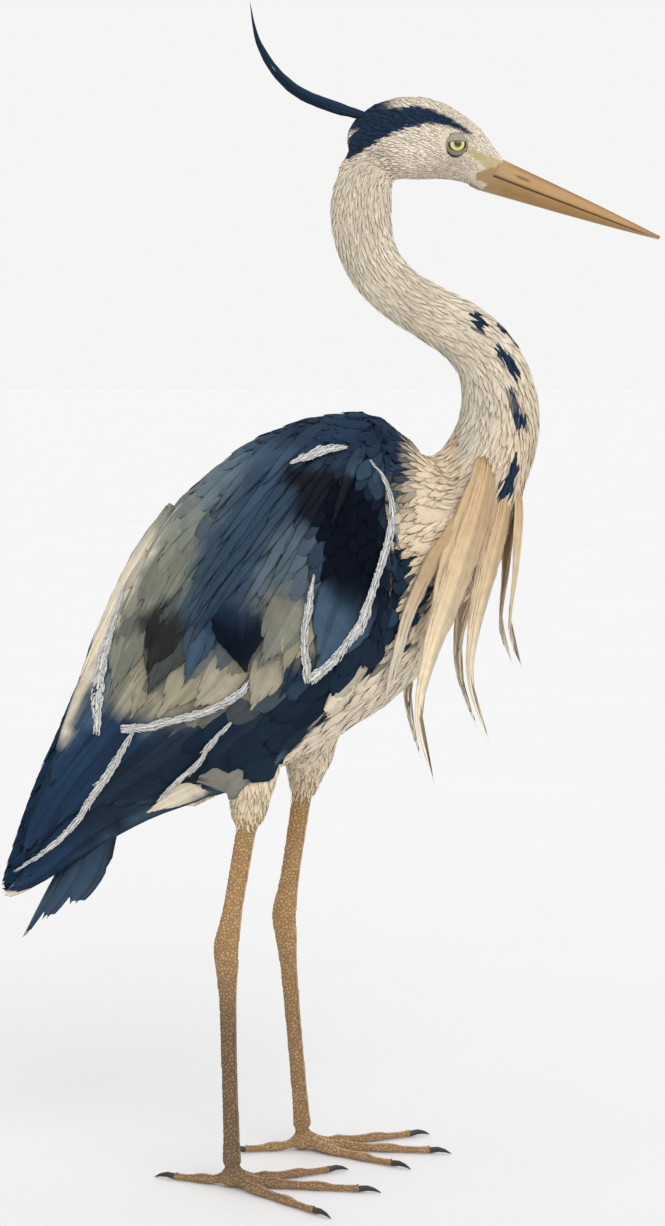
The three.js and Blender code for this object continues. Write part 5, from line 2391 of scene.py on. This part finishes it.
    @staticmethod
    def _exposure(along: Any) -> Any:
        """Return how much of a covert shows, in millimetres, at a share of the length."""
        return 7.5 + 11.0 * smooth(0.08, 0.5, along)

    def _coverts(self) -> Piece:
        """Lay the rows of coverts on the skin."""
        rows = self._rows()
        thigh = (rows[0][:, 2] < 352) & (rows[0][:, 0] > -84)
        kept = in_wing(rows[0], 9.0) | ~thigh
        points, normals, heading, along = (part[kept] for part in rows)
        rng = np.random.default_rng(70)
        count = len(points)
        gap = self._exposure(along)
        points = points + rng.normal(0, 0.09, (count, 3)) * gap[:, None]
        lie = in_surface(heading, normals)
        beside = np.cross(normals, lie)
        lie = unit(lie + beside * rng.normal(0, 0.09, count)[:, None])
        length = gap * 3.0 * rng.uniform(0.9, 1.12, count)
        flank = points[:, 0] > -84
        for share in (0.8, 0.62, 0.45):
            over = flank & ~in_wing(points + lie * length[:, None], 1.5)
            length = np.where(over, gap * 3.0 * share, length)
        tint = sum(MARKINGS.wing(points + lie * (length * share)[:, None]) for share in (0.4, 0.65, 0.9))
        tint = tint / 3 * rng.uniform(0.86, 1.12, count)[:, None]
        roots = Roots(
            points=points, stand=normals, lie=lie, length=length,
            width=gap * 1.55 * rng.uniform(0.92, 1.1, count), sink=np.full(count, 0.4),
            lift=(1.9 + 0.12 * gap) * rng.uniform(0.85, 1.15, count), kind=rng.integers(0, 10, count),
            tint=np.clip(tint, 0, 1),
            fringe=MARKINGS.wing_fringe(points + lie * (length * 0.92)[:, None]),
            map_place=self._map(points, along),
        )
        moulds = [self.COVERT.mould(700 + i) for i in range(10)]
        return self.layer.lay(
            f"coverts_{self.side.tag}", roots, moulds, self.wardrobe.feather, "slate_feather"
        )

    def _map(self, points: Array, along: Array) -> Array:
        """Return places on a flat map of the wing's own length and girth."""
        _, _, angle = SPINE.locate(points)
        return on_map(along / self.covert_end, (np.abs(angle) / math.pi).clip(0, 1))


@dataclass(frozen=True)
class TailFan:
    """The tail as a roof-shaped fan of twelve feathers."""

    wardrobe: Wardrobe
    root: Point = (-134, 0, 306)
    tip: Point = (-203, 0, 177)
    root_half: float = 15.0
    tip_half: float = 40.0
    droop: float = 34.0
    step_back: float = 0.34
    pairs: int = 6

    RECTRIX = Vane(
        rows=16, columns=7, root=0.6, shoulder=0.72, point=0.7, fray=0.0, bow=0.07,
        thickness=0.03, slant=0.05,
    )

    def _surface(self, flat: Array) -> Pair:
        """Return places on the fan from the distance along it and the share across it."""
        root, tip = np.array(self.root, float), np.array(self.tip, float)
        length = np.linalg.norm(tip - root)
        along = (tip - root) / length
        upward = unit(np.cross(along, (0, -1, 0)))
        if upward[2] < 0:
            upward = -upward
        t = flat[:, 0] / length
        half = self.root_half + (self.tip_half - self.root_half) * t
        outer = (flat[:, 1] / self.tip_half) ** 2
        drop = self.droop * outer * (0.35 + 0.65 * t)
        aside = flat[:, 1] / self.tip_half * half
        places = root + along * flat[:, :1] + aside[:, None] * LEFTWARD - upward * drop[:, None]
        return places, unit(upward + (flat[:, 1:2] / self.tip_half * 0.8) * LEFTWARD)

    def build(self) -> Piece:
        """Sweep the feathers from the outer pair to the middle one."""
        spray = Spray("tail_fan")
        length = np.linalg.norm(np.array(self.tip, float) - np.array(self.root, float))
        for number in range(self.pairs):
            group, last = divmod(number, 2)
            share = 1 - group / 2
            for side in Side:
                across = side.value * (4.5 + 29.0 * share - 3.0 * last)
                reach = length * (1 - 0.9 * self.step_back * share + 0.02 * last)
                path = np.column_stack([np.linspace(-10, reach, 10), np.full(10, across)])
                path[:, 1] = across * (0.75 + 0.25 * np.linspace(0, 1, 10))
                spray.sweep(
                    self.RECTRIX.mould(800 + number), self._surface, path, 26.0,
                    (0.2 + 0.5 * number - 2, 0.2 + 0.8 * number - 1.4),
                    tinted(
                        Tone.NAVY.linear * (0.85 + 0.25 * (number % 2)), Tone.SLATE.linear * 0.9, 205, 275
                    ),
                    edged(Tone.SLATE.linear * 1.3, 0.12),
                    (0.1 + 0.8 * number / self.pairs, 0.3 if side is Side.LEFT else 0.7),
                )
        return spray.build(self.wardrobe.quill, "ink_feather", "tail")


@dataclass(frozen=True)
class Crest:
    """The two long plumes of the nape."""

    wardrobe: Wardrobe
    path: tuple[Point, ...] = (
        (56, 2.5, 777), (26, 5, 786), (0, 7, 797), (-18, 9, 813.5), (-30, 10, 834.5), (-35.5, 11, 860)
    )

    PLUME = Vane(
        rows=26, columns=5, root=0.6, shoulder=0.3, point=0.9, fray=0.16, bow=0.14,
        thickness=0.08, slant=0.02,
    )

    def build(self) -> list[Piece]:
        """Make each plume of three narrow feathers that end one after another."""
        made = []
        for side in Side:
            spread = 1.25 if side is Side.LEFT else 1.0
            lower = 5.0 if side is Side.LEFT else 0.0
            last = len(self.path) - 1
            path = [
                (x, side.value * y * spread, z - lower * i / last)
                for i, (x, y, z) in enumerate(self.path)
            ]
            ribbon = Ribbon(path, (0.3, side.value * 0.8, 0.6))
            spray = Spray(f"crest_{side.tag}", (0.05, 0.8))
            for number, (reach, beside, width) in enumerate(
                ((0.70, 1.9, 6.0), (0.85, -1.6, 6.0), (1.0, 0.0, 7.4))
            ):
                along = np.linspace(0, ribbon.length * reach, 12)
                drift = beside * np.sin(np.linspace(0.2, 1, 12) * math.pi)
                spray.sweep(
                    self.PLUME.mould(850 + number), ribbon, np.column_stack([along, drift]), width,
                    (-0.4 + 0.3 * number, -0.3 + 0.3 * number), tinted(Tone.NAVY.linear * 0.8),
                    edged(Tone.SLATE.linear, 0.35), (0.2 + 0.3 * number, 0.5),
                )
            made.append(spray.build(self.wardrobe.quill, "ink_feather", f"crest_plume_{side.tag}"))
        return made


@dataclass(frozen=True)
class PlumePath:
    """One loose lock of breast plumes, as it hangs on the right side."""

    node: str
    face: Point
    half_width: float
    path: tuple[Point, ...]


@dataclass
class BreastPlumes:
    """Long pale plumes that hang from the base of the foreneck."""

    probe: SkinProbe
    wardrobe: Wardrobe

    LOCKS = (
        PlumePath(
            "breast_plume_outer", (0.35, -1, 0), 12.5,
            (
                (136, -26, 536), (131, -43, 512), (111, -60, 450), (92, -62, 392), (85, -57, 348),
                (97, -52, 298),
            ),
        ),
        PlumePath(
            "breast_plume_middle", (0.8, -0.9, 0), 10.5,
            (
                (148, -16, 520), (147, -29, 498), (135, -41, 452), (125, -40, 407), (123, -37, 370),
                (137, -33, 326),
            ),
        ),
        PlumePath(
            "breast_plume_front", (1, -0.35, 0), 9.0,
            (
                (154, -9, 526), (161, -12, 500), (158, -13, 456), (153, -12, 421), (153, -11, 400),
                (161, -10, 378),
            ),
        ),
    )
    LANCE = Vane(
        rows=22, columns=5, root=0.15, shoulder=0.4, point=0.85, fray=0.24, bow=0.1,
        thickness=0.05, slant=0.03,
    )
    strands: int = 12

    def build(self) -> list[Piece]:
        """Make the locks of each side and the plumes that lie over the wing's corner."""
        made = []
        for side in Side:
            spray = Spray(f"breast_plumes_{side.tag}", (0.01, 0.03))
            back = -5 if side is Side.LEFT else 0
            for lock in self.LOCKS:
                path = [(x + back, -side.value * y, z) for x, y, z in lock.path]
                face = (lock.face[0], -side.value * lock.face[1], lock.face[2])
                self._lock(spray, Ribbon(path, face, 0.006), lock.half_width, side)
            self._over_wing(spray, side)
            nodes = [f"{lock.node}_{side.tag}" for lock in self.LOCKS]
            made.append(spray.build(self.wardrobe.plume, "cream_feather", *nodes))
        return made

    def _lock(self, spray: Spray, ribbon: Ribbon, half: float, side: Side) -> None:
        """Sweep the feathers of one lock.

        Args:
            spray: Where the feathers go.
            ribbon: The strip that they lie in.
            half: Half width of the lock.
            side: Side of the bird.
        """
        rng = np.random.default_rng(int(half * 10))
        low, high = ribbon.centre[-1][2], ribbon.centre[0][2]
        share = np.linspace(0, 1, 14)
        for number in range(self.strands):
            order = number / (self.strands - 1)
            beside = (1 - 2 * (number % 2)) * 0.95 * (1 - order) ** 0.8
            reach = 0.58 + 0.42 * order**0.8 - rng.uniform(0, 0.05) * (1 - order)
            spread = beside * half * (0.55 + 0.45 * np.sin(share * math.pi * 0.85))
            taper = spread * (1 - 0.7 * smooth(0.55, 1.0, share)) + rng.normal(0, 0.5) * share
            shade = (0.84, 1.08, 0.93, 1.14)[number % 4] * rng.uniform(0.95, 1.05)
            # The tips' tone is partly painted light: paler so that tips facing down into shade still read
            # pale.
            spray.sweep(
                self.LANCE.mould(900 + number), ribbon,
                np.column_stack([share * ribbon.length * reach, taper]), half * rng.uniform(0.55, 0.8),
                (-2.5 + 0.3 * number, -0.8 + 0.3 * number),
                tinted(Tone.PLUME.linear * shade, Tone.PLUME_TIP.linear * shade, low, high),
                edged(Tone.WHITE.linear, 0.45),
                (0.06 + 0.07 * number, 0.1 + 0.05 * half + (0.02 if side is Side.LEFT else 0)),
            )

    def _over_wing(self, spray: Spray, side: Side) -> None:
        """Sweep the plumes that lie over the front corner of the wing."""
        plan = (
            ((136, 532), (114, 494), (92, 456), (76, 418), (66, 380)),
            ((128, 520), (104, 482), (82, 444), (68, 404), (58, 358)),
            ((140, 522), (120, 482), (100, 444), (87, 410), (81, 384)),
            ((132, 526), (109, 488), (87, 450), (72, 410), (63, 368)),
        )
        for number, line in enumerate(plan):
            path = []
            for x, z in resample(line, 9):
                hit = self.probe.from_side(x, z, side)
                if hit is not None:
                    path.append(hit[0] + hit[1] * 6.5)
            if len(path) < 5:
                continue
            ribbon = Ribbon(path, (0.25, side.value, 0.1), 0.01)
            share = np.linspace(0, 1, 12)
            spray.sweep(
                self.LANCE.mould(930 + number), ribbon,
                np.column_stack([share * ribbon.length, np.zeros(12)]), 11.0 - 1.2 * number,
                (-4.5, 0.4 + 0.3 * number), tinted(Tone.PLUME.linear * 0.95, Tone.NAPE.linear, 380, 480),
                edged(Tone.WHITE.linear, 0.4), (0.3 + 0.15 * number, 0.9),
            )


# --------------------------------------------------------------------------------------
# Bill, eyes, legs and claws
# --------------------------------------------------------------------------------------


class Half(Enum):
    """The two halves of the bill, as the sign of the way up."""

    UPPER = 1
    LOWER = -1


@dataclass(frozen=True)
class Bill:
    """Two mandibles with a ridge, a groove that holds the nostril, and a thin gape."""

    wardrobe: Wardrobe
    base: Point = (137.0, 0.0, 738.0)
    drop: float = math.radians(20.4)
    length: float = 132.0
    gape: float = -1.2
    gap: float = 0.22
    along: tuple[float, ...] = (-0.08, -0.03, 0.2, 0.42, 0.64, 0.84, 0.96, 1.0)
    deep: tuple[float, ...] = (13.2, 13.8, 11.2, 8.9, 6.3, 3.6, 1.9, 1.45)
    wide: tuple[float, ...] = (8.6, 9.0, 7.3, 5.9, 4.4, 2.9, 1.5, 0.35)
    rings: int = 64
    sides: int = 30

    def build(self) -> list[Piece]:
        """Make both mandibles.

        Returns:
            Their objects.
        """
        return [self._mandible(half) for half in Half]

    def _mandible(self, half: Half) -> Piece:
        """Make one mandible as a closed loft.

        Args:
            half: Upper or lower.

        Returns:
            Its object.
        """
        t = np.linspace(-0.08, 1.0, self.rings)[:, None]
        deep = np.interp(t, self.along, self.deep)
        wide = np.interp(t, self.along, self.wide)
        turn = np.linspace(0, math.pi, self.sides)[None, :]
        rise = np.sin(turn) ** 0.92
        edge = self.gape + half.value * self.gap
        reach = deep - half.value * self.gape - self.gap
        height = edge + half.value * reach * rise
        narrow = 1 - (0.34 if half is Half.UPPER else 0.26) * rise**2
        beside = wide * np.cos(turn) * narrow
        side = np.sign(np.cos(turn))
        groove = np.exp(-(((rise - 0.50) / 0.11) ** 2)) * smooth(0.02, 0.10, t) * smooth(0.62, 0.3, t)
        slit = np.exp(-(((rise - 0.44) / 0.055) ** 2)) * smooth(0.13, 0.155, t) * smooth(0.235, 0.205, t)
        keel = np.exp(-(((rise - 0.72) / 0.16) ** 2)) * smooth(0.0, 0.1, t) * smooth(0.5, 0.2, t)
        if half is Half.UPPER:
            beside = beside - side * (0.55 * groove + 1.0 * slit)
        else:
            beside = beside - side * 0.35 * keel
        tomium = np.exp(-((rise / 0.08) ** 2)) * smooth(0.05, 0.2, t)
        beside = beside - side * 0.22 * tomium
        run = np.array((math.cos(self.drop), 0.0, -math.sin(self.drop)))
        up = np.array((math.sin(self.drop), 0.0, math.cos(self.drop)))
        points = np.array(self.base) + run * (t * self.length)[..., None]
        points = points + up * height[..., None] + LEFTWARD * beside[..., None]
        points = points.reshape(-1, 3)
        ends = [points[: self.sides].mean(axis=0), points[-self.sides :].mean(axis=0) + run * 0.4]
        whole = (self.rings, self.sides)
        tint = self._tint(half, np.broadcast_to(t, whole), np.broadcast_to(rise, whole), slit)
        tint = np.vstack([tint.reshape(-1, 3), tint[0, :1], tint[-1, :1]])
        shell = Shell(
            np.vstack([points, *ends]), tube_faces(self.rings, self.sides), {"Tint": opaque(tint)}
        )
        name = f"bill_{half.name.lower()}"
        piece = facing_out(shell).to_object(f"{name}_horn", self.wardrobe.bill)
        return hand_in(piece, "bill_horn", name)

    @staticmethod
    def _tint(half: Half, t: Array, rise: Array, slit: Array) -> Array:
        """Return the colour over one mandible.

        Args:
            half: Upper or lower.
            t: Share of the length of each point.
            rise: Share of the way from the gape to the ridge.
            slit: How far each point is in the nostril.

        Returns:
            Linear red, green and blue.
        """
        main = Tone.BILL if half is Half.UPPER else Tone.BILL_LOW
        colour = np.tile(main.linear, (*t.shape, 1))
        Tone.BILL_BASE.wash(colour, 0.55 * smooth(0.16, -0.02, t))
        if half is Half.UPPER:
            Tone.BILL_DARK.wash(colour, 0.6 * smooth(0.72, 0.98, rise) * smooth(0.02, 0.2, t))
            Tone.BILL_DARK.wash(colour, 0.35 * smooth(0.7, 1.0, t))
            Tone.GAPE.wash(colour, 0.95 * slit)
        else:
            Tone.BILL_BASE.wash(colour, 0.4 * smooth(0.5, 1.0, rise) * smooth(0.5, 0.1, t))
        Tone.GAPE.wash(colour, 0.75 * smooth(0.07, 0.0, rise))
        return colour


@dataclass(frozen=True)
class Eye:
    """One eye with its cornea, and the lids round it with the upper one lowered."""

    side: Side
    wardrobe: Wardrobe
    half_length: float = 6.5
    upper: float = 1.7
    lower: float = 5.2
    socket: float = 8.0
    rings: int = 26
    sides: int = 48

    def _axes(self) -> tuple[Array, Array, Array, Array]:
        """Return the eye's centre and its ways out, forward and up."""
        sign = self.side.value
        centre = np.array((EYE_CENTRE[0], sign * EYE_CENTRE[1], EYE_CENTRE[2]))
        out = unit(np.array((0.16, sign * 1.0, 0.06)))
        up = unit(UPWARD - out * out[2])
        ahead = unit(np.cross(up, out))
        if ahead[0] < 0:
            ahead = -ahead
        return centre, out, ahead, up

    def build(self) -> list[Piece]:
        """Make the ball and the lids.

        Returns:
            Their objects.
        """
        return [self._ball(), self._lids()]

    def _ball(self) -> Piece:
        """Make the eyeball, with a low bulge for the cornea."""
        centre, out, ahead, up = self._axes()
        polar = np.linspace(0.02, math.pi - 0.05, self.rings)[:, None]
        turn = np.linspace(0, 2 * math.pi, self.sides, endpoint=False)[None, :]
        radius = EYE_RADIUS + 0.35 * np.exp(-((polar / 0.5) ** 2))
        rim = np.sin(polar) * radius
        points = centre + out * (np.cos(polar) * radius * np.ones_like(turn))[..., None]
        points = points + ahead * (rim * np.cos(turn))[..., None] + up * (rim * np.sin(turn))[..., None]
        points = points.reshape(-1, 3)
        ends = [centre + out * (EYE_RADIUS + 0.35), centre - out * EYE_RADIUS]
        spoke = np.abs(((turn + math.pi) % (2 * math.pi)) - math.pi) / math.pi
        place = np.stack(np.broadcast_arrays(rim / EYE_RADIUS, spoke), axis=2)
        back = polar[:, 0] > math.pi / 2
        place[back, :, 0] = 2 - place[back, :, 0]
        place = np.vstack([place.reshape(-1, 2), (0.0, 0.5), (2.0, 0.5)])
        shell = Shell(
            np.vstack([points, *ends]), tube_faces(self.rings, self.sides), {}, {"EyeMap": place}
        )
        name = f"eye_{self.side.tag}"
        piece = facing_out(shell).to_object(f"{name}_ball", self.wardrobe.eye)
        return hand_in(piece, "eye", name)

    def _lids(self) -> Piece:
        """Make the ring of skin round the opening, as a closed roll."""
        centre, out, ahead, up = self._axes()
        turn = np.linspace(0, 2 * math.pi, self.sides, endpoint=False)
        sine, cosine = np.sin(turn), np.cos(turn)
        opening_x = self.half_length * cosine
        opening_z = np.where(
            sine > 0, self.upper * np.abs(sine) ** 0.4, -self.lower * np.abs(sine) ** 0.9
        )
        opening_z = opening_z + 0.25 * cosine
        # share of the way out from the opening, and height over the ball
        plan = (
            (0.0, 0.0), (0.0, 0.55), (0.06, 0.78), (0.16, 0.80), (0.26, 0.62), (0.36, 0.86), (0.5, 0.92),
            (0.62, 0.74), (0.76, 0.94), (0.9, 0.9), (1.0, 0.7), (1.0, -1.2), (0.5, -0.6),
        )
        rows, tints = [], []
        for share, height in plan:
            x = opening_x + (self.socket * cosine - opening_x) * share
            z = opening_z + (self.socket * sine - opening_z) * share
            ball = EYE_RADIUS + height
            depth = np.sqrt(np.maximum(ball**2 - x**2 - z**2, 0.2))
            rows.append(centre + out * depth[:, None] + ahead * x[:, None] + up * z[:, None])
            tone = Tone.LID.linear * (0.35 + 0.65 * smooth(0.0, 0.14, np.array(share)))
            # The lower half of the lids is darkened to 0.72 as painted shade beneath the eye.
            under = 0.72 + 0.28 * smooth(-0.5, 0.3, sine)
            tints.append(tone * under[:, None])
        faces = tube_faces(len(rows), self.sides, closed=True)
        shell = Shell(np.vstack(rows), faces, {"Tint": opaque(np.vstack(tints))})
        piece = facing_out(shell).to_object(f"eyelids_{self.side.tag}", self.wardrobe.bare)
        return hand_in(piece, "pale_feather")


@dataclass(frozen=True)
class Scute:
    """One horny plate of the legs: a low dome with an uneven rim."""

    sides: int = 7
    crown: float = 0.13
    square: float = 0.0

    def mould(self, seed: int) -> Mould:
        """Return one plate.

        Args:
            seed: Seed of its uneven rim.

        Returns:
            A closed dome one unit across.
        """
        rng = np.random.default_rng(seed)
        turn = (np.arange(self.sides) + rng.uniform(-0.16, 0.16, self.sides)) * (2 * math.pi / self.sides)
        reach = rng.uniform(0.46, 0.56, self.sides)
        blunt = 1 / np.maximum(np.abs(np.cos(turn)), np.abs(np.sin(turn)))
        reach = reach * (1 + (blunt - 1) * self.square)
        rim = np.column_stack([reach * np.cos(turn), reach * np.sin(turn), np.zeros(self.sides)])
        inner = rim * (0.7, 0.7, 1) + (0, 0, self.crown * 0.85)
        points = np.vstack([rim, inner, (0, 0, self.crown), (0, 0, -0.12)])
        faces: Faces = []
        top, under = 2 * self.sides, 2 * self.sides + 1
        for side in range(self.sides):
            after = (side + 1) % self.sides
            faces.append((side, after, self.sides + after, self.sides + side))
            faces.append((self.sides + side, self.sides + after, top))
            faces.append((after, side, under))
        return Mould(points, faces, np.clip(0.5 + points[:, :2], 0, 1))


@dataclass(frozen=True)
class LegPath:
    """Where one leg and its toes run."""

    side: Side
    cuff: Point
    ankle: Point
    foot: Point
    toes: tuple[tuple[str, float, float], ...]


LEGS = (
    LegPath(
        Side.RIGHT, (-38, -40, 270), (-53.5, -42, 179), (-50, -44, 13),
        (("inner", 23, 78), ("middle", -8, 95), ("outer", -44, 86), ("hind", 161, 46)),
    ),
    LegPath(
        Side.LEFT, (1, 38, 279), (-13, 40, 185), (1, 42, 13),
        (("inner", -31, 80), ("middle", -6, 99), ("outer", 20, 90), ("hind", 190, 46)),
    ),
)


@dataclass
class Legs:
    """Plates of the bare legs, and the claws."""

    skin: Skin
    probe: SkinProbe
    layer: Layer
    wardrobe: Wardrobe
    claw_length: float = 15.0

    def build(self) -> list[Piece]:
        """Lay the plates of each leg and make its claws.

        Returns:
            Their objects.
        """
        made = []
        for leg in LEGS:
            made.append(self._plates(leg))
            made.extend(self._claw(leg, *toe) for toe in leg.toes)
        return made

    def _front_rows(self, leg: LegPath) -> tuple[Array, Array, Array]:
        """Return the broad plates down the front of the leg and over the toes.

        Args:
            leg: The leg.

        Returns:
            Places near the skin, the way each plate lies, and its width and length.
        """
        places, lies, sizes = [], [], []
        cuff, ankle, foot = (np.array(spot, float) for spot in (leg.cuff, leg.ankle, leg.foot))
        for start, end, ahead in ((ankle, foot, 9.0), (cuff, ankle, 10.0)):
            run = end - start
            length = np.linalg.norm(run)
            share = np.arange(0.07, 0.97, 4.0 / length)
            for part in share:
                places.append(start + run * part + np.array((ahead, 0, 0)))
                lies.append(run / length)
                sizes.append((8.2, 4.9))
        for _, degrees, length in leg.toes:
            heading = math.radians(degrees)
            out = np.array((math.cos(heading), math.sin(heading), 0.0))
            for reach in np.arange(11.0, length - 1.5, 3.1):
                places.append(foot * (1, 1, 0) + out * reach + np.array((0, 0, 11.0)))
                lies.append(out)
                sizes.append((5.6 - 1.7 * reach / length, 3.7))
        return np.array(places), np.array(lies), np.array(sizes)

    def _plates(self, leg: LegPath) -> Piece:
        """Lay broad plates in front and small ones everywhere else."""
        rng = np.random.default_rng(40 + leg.side.value)
        near, lie, size = self._front_rows(leg)
        spots, ways = self.probe.nearest(near)

        def keep(points: Array) -> Array:
            """Return whether a place is on this bare leg."""
            bare = (points[:, 2] < leg.cuff[2] + 4) & (points[:, 0] > -105) & (points[:, 2] > 0.8)
            low = points[:, 2] < 235
            return (bare & (low | (points[:, 0] > -60))) & (points[:, 1] * leg.side.value > 4)

        small, small_ways = scatter(
            self.skin, keep, lambda p: 1.75 + 0.35 * smooth(12, 40, p[:, 2]), 90 + leg.side.value
        )
        gap = np.linalg.norm(small[:, None, :] - spots[None], axis=2)
        clear = (gap / (0.36 * size.sum(axis=1) / 2 + 0.9)).min(axis=1) > 1
        small, small_ways = small[clear], small_ways[clear]
        across = np.full(len(small), 2.35) + 0.3 * smooth(12, 40, small[:, 2])
        points = np.vstack([spots, small])
        stand = np.vstack([ways, small_ways])
        down = np.tile((0.05, 0.0, -1.0), (len(small), 1))
        down[small[:, 2] < 14] = (1.0, 0.0, 0.0)
        heading = in_surface(np.vstack([lie, down]), stand)
        count = len(points)
        broad = np.arange(count) < len(spots)
        shade = rng.uniform(0.8, 1.15, count)
        colour = MARKINGS.leg(points) * shade[:, None]
        moulds = [Scute(7).mould(300 + i) for i in range(8)]
        moulds += [Scute(8, 0.10, 0.85).mould(320 + i) for i in range(6)]
        kind = np.where(broad, 8 + rng.integers(0, 6, count), rng.integers(0, 8, count))
        roots = Roots(
            points=points, stand=stand, lie=heading, length=np.concatenate([size[:, 1], across]),
            width=np.concatenate([size[:, 0], across]) * rng.uniform(0.94, 1.08, count),
            sink=np.zeros(count), lift=np.zeros(count), kind=kind, tint=np.clip(colour, 0, 1),
            fringe=np.zeros((count, 4)), map_place=self._map(points, leg),
        )
        return self.layer.lay(f"scutes_{leg.side.tag}", roots, moulds, self.wardrobe.scale, "leg_scute")

    @staticmethod
    def _map(points: Array, leg: LegPath) -> Array:
        """Return places on a flat map of the leg: its height and the angle round it."""
        foot, ankle, cuff = (np.array(spot, float) for spot in (leg.foot, leg.ankle, leg.cuff))
        z = points[:, 2]
        x = np.interp(z, (foot[2], ankle[2], cuff[2]), (foot[0], ankle[0], cuff[0]))
        y = np.interp(z, (foot[2], ankle[2], cuff[2]), (foot[1], ankle[1], cuff[1]))
        angle = np.arctan2(points[:, 1] - y, points[:, 0] - x) / (2 * math.pi) + 0.5
        reach = np.hypot(points[:, 0] - x, points[:, 1] - y)
        toe = z < 14
        up = np.where(toe, 0.40 - 0.38 * np.clip(reach / 110, 0, 1), 0.44 + 0.54 * z / 270)
        return np.column_stack([0.02 + 0.96 * angle, np.clip(up, 0.02, 0.98)])

    def _claw(self, leg: LegPath, toe: str, degrees: float, length: float) -> Piece:
        """Make one curved claw.

        Args:
            leg: The leg that it is on.
            toe: Name of the toe.
            degrees: Heading of the toe.
            length: Length of the toe, in millimetres.

        Returns:
            The claw's object.
        """
        heading = math.radians(degrees)
        out = np.array((math.cos(heading), math.sin(heading), 0.0))
        aside = np.array((-out[1], out[0], 0.0))
        share = np.linspace(-0.12, 1, 18)
        height = np.interp(share, (-0.12, 0, 0.35, 0.7, 1), (2.6, 2.9, 3.6, 2.7, 0.75))
        radius = np.interp(share, (-0.12, 0, 0.35, 0.7, 0.9, 1), (2.1, 2.4, 2.0, 1.35, 0.7, 0.25))
        start = np.array((leg.foot[0], leg.foot[1], 0.0)) + out * (length + 0.3)
        turn = np.linspace(0, 2 * math.pi, 14, endpoint=False)
        rows = []
        for part, lift, half in zip(share, height, radius):
            ring = start + out * part * self.claw_length + aside * (half * 0.72 * np.cos(turn))[:, None]
            ring = ring + UPWARD * (lift + half * np.sin(turn))[:, None]
            ring[:, 2] = np.maximum(ring[:, 2], 0.0)
            rows.append(ring)
        points = np.vstack(rows)
        ends = [rows[0].mean(axis=0), rows[-1].mean(axis=0) + out * 0.3]
        ends[1][2] = max(ends[1][2], 0.0)
        gain = np.repeat(np.interp(share, (-0.12, 0.2, 1), (1.9, 1.0, 0.7)), 14)
        tone = Tone.CLAW.linear * gain[:, None]
        tint = np.vstack([tone, tone[:1], tone[-1:]])
        name = f"claw_{toe}_{leg.side.tag}"
        shell = Shell(
            np.vstack([points, *ends]), tube_faces(18, 14), {"Tint": opaque(np.clip(tint, 0, 1))}
        )
        piece = facing_out(shell).to_object(f"{name}_horn", self.wardrobe.claw)
        return hand_in(piece, "claw_horn", name)


# --------------------------------------------------------------------------------------
# Studio
# --------------------------------------------------------------------------------------


@dataclass(frozen=True)
class Studio:
    """Pale floor, soft lights and the camera."""

    camera: Point = (24.0, -1800.0, 600.0)
    target: Point = (24.0, 0.0, 419.0)
    lens: float = 72.24
    floor_half: float = 60000.0
    softness: float = 50.0

    def build(self, wardrobe: Wardrobe) -> None:
        """Make the floor, the lights and the camera."""
        half = self.floor_half
        corners = np.array([(-half, -half, 0), (half, -half, 0), (half, half, 0), (-half, half, 0)])
        floor = Shell(corners, [(0, 1, 2, 3)]).to_object("floor", wardrobe.floor)
        floor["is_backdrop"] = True
        self._light("key", (900, -1500, 1900), 1.0, (1.0, 0.98, 0.95))
        self._light("back", (-900, 1500, 1700), 0.45, (0.96, 0.98, 1.0))
        world = bpy.data.worlds.new("soft room")
        world.use_nodes = True
        world.node_tree.nodes["Background"].inputs[0].default_value = (0.93, 0.93, 0.925, 1)
        world.node_tree.nodes["Background"].inputs[1].default_value = 0.98
        bpy.context.scene.world = world
        self._camera()

    def _light(self, name: str, place: Point, power: float, colour: Point) -> None:
        """Add one wide, even light that shines on the middle of the bird."""
        lamp = bpy.data.lights.new(name, "SUN")
        lamp.energy = power
        lamp.angle = math.radians(self.softness)
        lamp.color = colour
        self._aim(placed(name, lamp), place, (20, 0, 450))

    def _camera(self) -> None:
        """Add the camera and make it the scene's."""
        lens = bpy.data.cameras.new("camera")
        lens.lens = self.lens
        lens.sensor_width = 36.0
        lens.sensor_fit = "AUTO"
        lens.clip_end = 100.0
        holder = placed("camera", lens)
        self._aim(holder, self.camera, self.target)
        bpy.context.scene.camera = holder
        bpy.context.scene.view_settings.view_transform = "Standard"

    @staticmethod
    def _aim(holder: Piece, place: Point, target: Point) -> None:
        """Stand a light or the camera at a place and face it to a target."""
        here = Vector(BIRD.metres(np.array(place)))
        there = Vector(BIRD.metres(np.array(target)))
        holder.location = here
        holder.rotation_mode = "QUATERNION"
        holder.rotation_quaternion = (there - here).to_track_quat("-Z", "Y")


def write_sizes() -> None:
    boxes = {"cad": CAD_BOX, "visual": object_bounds()}
    plain = {key: [list(corner) for corner in box] for key, box in boxes.items()}


def main() -> None:
    """Build the bird piece by piece and report each one."""
    logging.basicConfig(level=logging.INFO, format="%(name)s: %(message)s", force=True)
    wardrobe = Wardrobe()
    Studio().build(wardrobe)
    skin = Skin()
    skin.build(wardrobe)
    layer = Layer(skin)
    SoftCoat(skin, layer, wardrobe).build()
    probe = SkinProbe(skin)
    for side in Side:
        Wing(side, probe, layer, wardrobe).build()
    TailFan(wardrobe).build()
    Crest(wardrobe).build()
    BreastPlumes(probe, wardrobe).build()
    Bill(wardrobe).build()
    for side in Side:
        Eye(side, wardrobe).build()
    Legs(skin, probe, layer, wardrobe).build()
    write_sizes()


if __name__ == "__main__":
    main()
